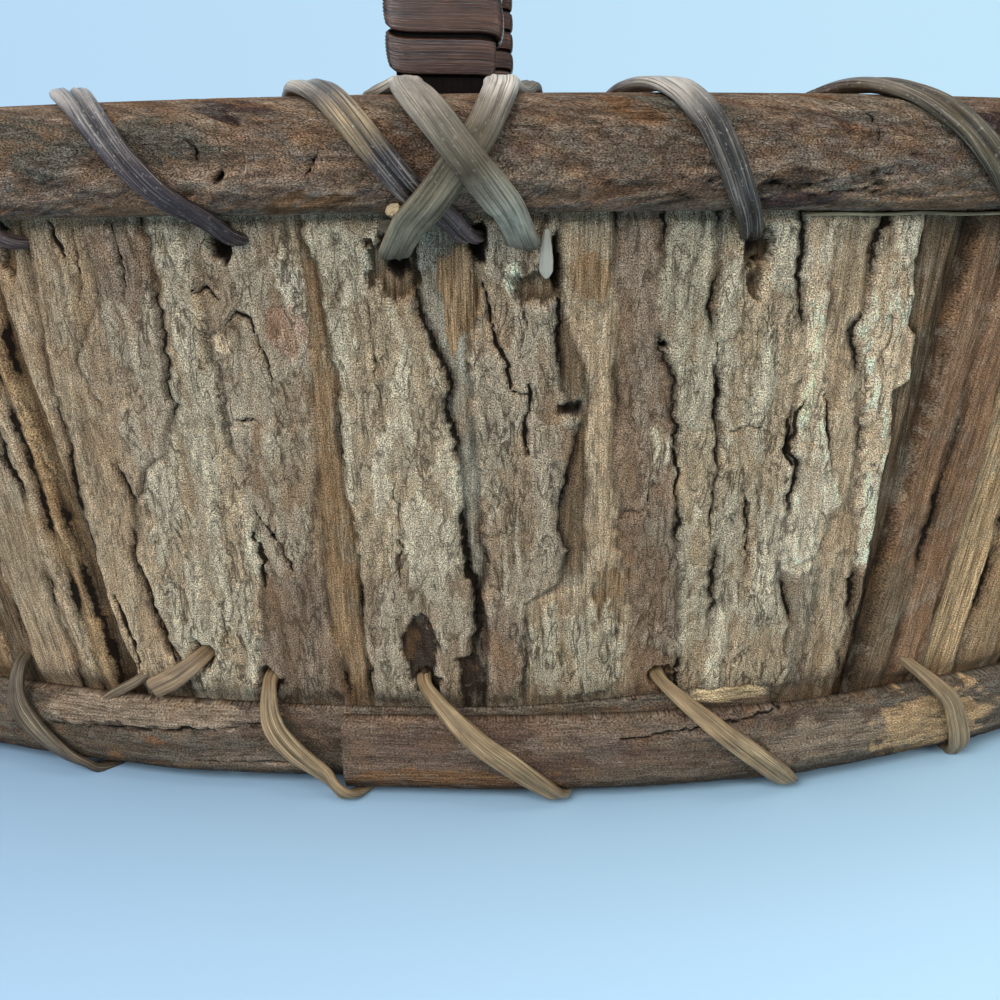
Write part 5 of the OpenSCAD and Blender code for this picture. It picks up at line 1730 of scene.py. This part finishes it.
@dataclass
class Handle:
    """The bent bow and the strip wound round it."""

    width: float = 18.6
    foot_width: float = 15.0
    thickness: float = 5.0
    arch_z: float = 170.0
    strip_width: float = 6.3
    pitch: float = 6.9
    strip_thickness: float = 1.1
    foot_up: float = 128.0
    wrap_start_up: float = 147.0
    bow_rings: int = 260
    bow_sides: int = 24
    turn_steps: int = 48
    strip_points: int = 23

    def __post_init__(self) -> None:
        """Works out where the arch runs into the two leaning legs."""
        lean = OVAL.lean
        self.leg_out = -OVAL.bark - 0.3 - self.thickness / 2
        leg_y = OVAL.half_width + self.leg_out / math.cos(lean)
        self.arch_radius = (leg_y + self.arch_z * math.tan(lean)) * math.cos(lean)
        self.leg_top_up = ((self.arch_z - self.arch_radius * math.sin(lean) + self.leg_out * math.sin(lean))
                           / math.cos(lean))
        self.arch_run = self.arch_radius * (math.pi + 2 * lean)

    def spot(self, travel: Array) -> tuple[Array, Array, Array]:
        """Middle line of the bow, measured from where the arch begins at the front.

        Args:
            travel: distance along the bow, negative down the front leg.

        Returns:
            Points, outward directions and widths.
        """
        back = travel - self.arch_run
        turn = math.pi + OVAL.lean - np.clip(travel, 0, self.arch_run) / self.arch_radius
        arrow = np.stack([np.zeros_like(turn), np.cos(turn), np.sin(turn)], axis=-1)
        point = np.array([0, 0, self.arch_z]) + self.arch_radius * arrow
        below = np.maximum(np.maximum(-travel, back), 0.0)
        run = np.where(travel < 0, 0.0, OVAL.half_girth())
        leg = OVAL.wall(run, self.leg_out, self.leg_top_up - below)
        on_leg = (below > 0)[..., None]
        wide = self.width + (self.foot_width - self.width) * below / (self.leg_top_up - self.foot_up)
        return np.where(on_leg, leg, point), np.where(on_leg, OVAL.outward(run), arrow), wide

    def bow(self) -> Skin:
        """Rounded flat section carried along the whole bow."""
        depth = self.leg_top_up - self.foot_up
        travel = np.linspace(-depth, self.arch_run + depth, self.bow_rings)
        point, outward, wide = self.spot(travel)
        angle = np.linspace(0, 2 * math.pi, self.bow_sides, endpoint=False)
        x, y = (squared(wave, 0.35) * 0.5 for wave in (np.cos(angle), np.sin(angle)))
        points = (point[:, None] + SIDEWAYS * (x[None, :] * wide[:, None])[..., None]
                  + outward[:, None] * (y * self.thickness)[None, :, None])
        section = np.stack([x * self.width, y * self.thickness], axis=-1)
        # Near-black, as painted shade in the gaps between the turns of the strip
        return Skin(points, swept(travel, section), plain(points, np.array(linear("#110c0a")[:3])))

    def strip(self) -> Skin:
        """Crowned ridged strip carried round and round a rounded flat section that moves along the bow.

        Each turn crosses the broad faces quickly and the narrow sides slowly, as the angle through its knots.

        Returns:
            The strip's surface.
        """
        leg_run = self.leg_top_up - self.wrap_start_up
        turns = math.floor((2 * leg_run + self.arch_run) / self.pitch) - 1
        phase = np.linspace(0, turns, turns * self.turn_steps)
        travel = self.pitch * (0.5 + phase) - leg_run
        share = np.mod(phase, 1)
        angle = np.radians(np.interp(share, np.arange(7) / 6, (45, 135, 180, 225, 315, 360, 405)))
        x, y = squared(np.cos(angle), 0.3), squared(np.sin(angle), 0.3)
        across = np.linspace(-1, 1, self.strip_points)
        crown = np.maximum(0, 1 - across ** 2) ** 0.3
        ridges = 0.13 * np.cos(np.arange(self.strip_points) * math.pi)
        place = np.concatenate([across, across[-2:0:-3] * 0.98])
        below = len(place) - self.strip_points
        rise = np.concatenate([0.3 + (0.8 + ridges) * crown, np.full(below, 0.14)]) * self.strip_thickness
        noise = Noise(71.0)
        rise = rise[None, :] * (1 + 0.12 * noise.at(phase * 3)[:, None])
        point, outward, wide = self.spot(travel[:, None] + place[None, :] * self.strip_width / 2)
        points = (point + SIDEWAYS * (x[:, None] * (wide / 2 + rise))[..., None]
                  + outward * (y[:, None] * (self.thickness / 2 + rise))[..., None])
        length = lengths(points[:, self.strip_points // 2])
        section = np.stack([place * self.strip_width / 2, np.zeros(len(place))], axis=-1)
        tone = 1 + 0.3 * noise.at(np.floor(phase + 0.3) * 3.7)[:, None]
        streak = 1 + 0.3 * noise.at(length[:, None] / 14, np.arange(len(place))[None, :] * 0.7)
        # The strip's edges are darkened as painted shade in the gaps between the turns
        edge = np.concatenate([np.abs(across) ** 8, np.ones(below)])[None, :]
        marks = {"tint": (tone * streak)[..., None] * np.array(linear("#4d3121")[:3]),
                 "furrow": np.broadcast_to(0.8 * edge, points.shape[:2])}
        return Skin(points, swept(length, section), marks)

    def build(self) -> None:
        """Makes the bow and its winding."""
        # Wood drawn near-black, as painted shade in the narrow gaps between the turns of the strip, where
        # only it shows
        bow = LongGrain("dark bent ash", "#080605", "#1d1511", line=0.5, long=20.0, deep=0.5, rubbed=0.2,
                        rough=0.8, gloss=0.08)
        self.bow().make("handle_core_bow", bow.material(), "bow", ("handle_core",))
        # Glossy brown reed with fine ridges that catch white glints
        strip = LongGrain("dark glossy flat reed", "#170e0a", "#764f38", line=0.26, long=30.0, rubbed=0.3,
                          rough=0.2, gloss=0.5, depth=0.35)
        self.strip().make("handle_wrap_reed", strip.material(), "dark_strip", ("handle_wrap",))


@dataclass
class Studio:
    """Pale blue table and backdrop, soft light, and the photograph's camera."""

    table: tuple[str, str] = ("#97b7d4", "#b3d8f0")
    backdrop: tuple[str, str] = ("#b9dbf6", "#c4e8fb")
    focal: float = 37.8
    sensor: float = 36.0
    eye: tuple[float, float, float] = (13.5, -309.5, 116.8)
    pitch: float = 13.35
    yaw: float = -1.28
    roll: float = -0.57
    table_half: float = 6.0
    aim: tuple[float, float, float] = (0.0, -0.05, 0.07)
    fill: float = 0.53

    def put(self, data: ID, axes: tuple[Array, Array, Array], place: Array) -> Object:
        """Adds a camera or lamp.

        Args:
            data: the camera or lamp.
            axes: directions of its x, y and z.
            place: where it stands, in metres.

        Returns:
            The new object.
        """
        pose = np.eye(4)
        pose[:3, :3] = np.stack(axes, axis=1)
        pose[:3, 3] = place
        made = bpy.data.objects.new(data.name, data)
        made.matrix_world = Matrix(pose.tolist())
        bpy.context.scene.collection.objects.link(made)
        return made

    def camera(self) -> None:
        """Looks a little down and across at the front, with the photograph's angle of view."""
        pitch, yaw, roll = (math.radians(a) for a in (self.pitch, self.yaw, self.roll))
        ahead = np.array([math.sin(yaw) * math.cos(pitch), math.cos(yaw) * math.cos(pitch), -math.sin(pitch)])
        right = np.array([math.cos(yaw), -math.sin(yaw), 0.0])
        above = np.cross(right, ahead)
        right, above = (right * math.cos(roll) + above * math.sin(roll),
                        above * math.cos(roll) - right * math.sin(roll))
        data = bpy.data.cameras.new("camera")
        data.sensor_width = self.sensor
        data.lens = self.focal
        data.clip_start, data.clip_end = 0.01, 50.0
        bpy.context.scene.camera = self.put(data, (right, above, -ahead), np.array(self.eye) * MM)

    def lamp(self, name: str, place: tuple[float, float, float], size: float, power: float) -> None:
        """A square soft white lamp that looks at the middle of the wall."""
        data = bpy.data.lights.new(name, "AREA")
        data.size = size
        data.energy = power
        back = unit(np.array(place) - np.array(self.aim))
        side = unit(np.cross(UPWARDS, back))
        self.put(data, (side, np.cross(back, side), back), np.array(place))

    def drift(self, tree: Tree, space: str, reach: float, tones: tuple[str, str]) -> Socket:
        """A colour that drifts from left to right.

        Args:
            tree: node tree of the table's material or of the world.
            space: coordinates whose x is followed.
            reach: x at which the second colour is reached; the first is reached at its opposite.
            tones: the two colours.

        Returns:
            The colour's output.
        """
        place = add(tree, "ShaderNodeTexCoord").outputs[space]
        x = add(tree, "ShaderNodeSeparateXYZ", None, {0: place}).outputs["X"]
        share = add(tree, "ShaderNodeMapRange", None,
                    {"Value": x, "From Min": -reach, "From Max": reach}).outputs[0]
        return add(tree, "ShaderNodeMix", {"data_type": "RGBA"},
                   {SHARE: share, UNDER: linear(tones[0]), OVER: linear(tones[1])}).outputs[MIXED]

    def build(self) -> None:
        """Makes the table, the backdrop, the lamps and the camera."""
        # Matt paper, drawn darker to the left and paler to the right as a painted falloff of the light
        material, tree, shader = blank("pale blue table paper")
        join(tree, shader, {"Base Color": self.drift(tree, "Object", 0.12, self.table), "Roughness": 0.7})
        mesh = bpy.data.meshes.new("table")
        half = self.table_half
        mesh.from_pydata([(-half, -half, 0), (half, -half, 0), (half, half, 0), (-half, half, 0)], [],
                         [(0, 1, 2, 3)])
        mesh.materials.append(material)
        table = bpy.data.objects.new("table", mesh)
        bpy.context.scene.collection.objects.link(table)
        world = bpy.data.worlds.new("studio")
        world.use_nodes = True
        bpy.context.scene.world = world
        tree = world.node_tree
        path = add(tree, "ShaderNodeLightPath").outputs
        seen = path["Is Camera Ray"]
        for ray in ("Is Glossy Ray", "Is Transmission Ray"):
            seen = add(tree, "ShaderNodeMath", {"operation": "MAXIMUM"}, {0: seen, 1: path[ray]}).outputs[0]
        # Blue where it is seen, paling to the right as a painted falloff of the light, white where it only
        # lights
        fill, sky = (
            add(tree, "ShaderNodeBackground", None, {"Color": colour, "Strength": strength}).outputs[0]
            for colour, strength in ((linear("#ffffff"), self.fill),
                                     (self.drift(tree, "Generated", 0.45, self.backdrop), 1.0)))
        mixed = add(tree, "ShaderNodeMixShader", None, {0: seen, 1: fill, 2: sky}).outputs[0]
        join(tree, tree.nodes["World Output"], {"Surface": mixed})
        self.lamp("key", place=(-0.5, -1.0, 0.75), size=0.6, power=12.5)
        self.lamp("fill", place=(0.7, -0.9, 0.5), size=0.3, power=3.0)
        self.lamp("top", place=(-0.1, 0.0, 1.6), size=1.0, power=10.0)
        self.camera()


def main() -> None:
    """Builds the basket piece by piece."""
    logging.basicConfig(level=logging.INFO, format="%(message)s")
    bpy.context.scene.view_settings.view_transform = "Standard"
    Studio().build()
    BarkWall().build()
    Rims().build()
    RimLashing().build()
    Foot().build()
    Handle().build()


if __name__ == "__main__":
    main()
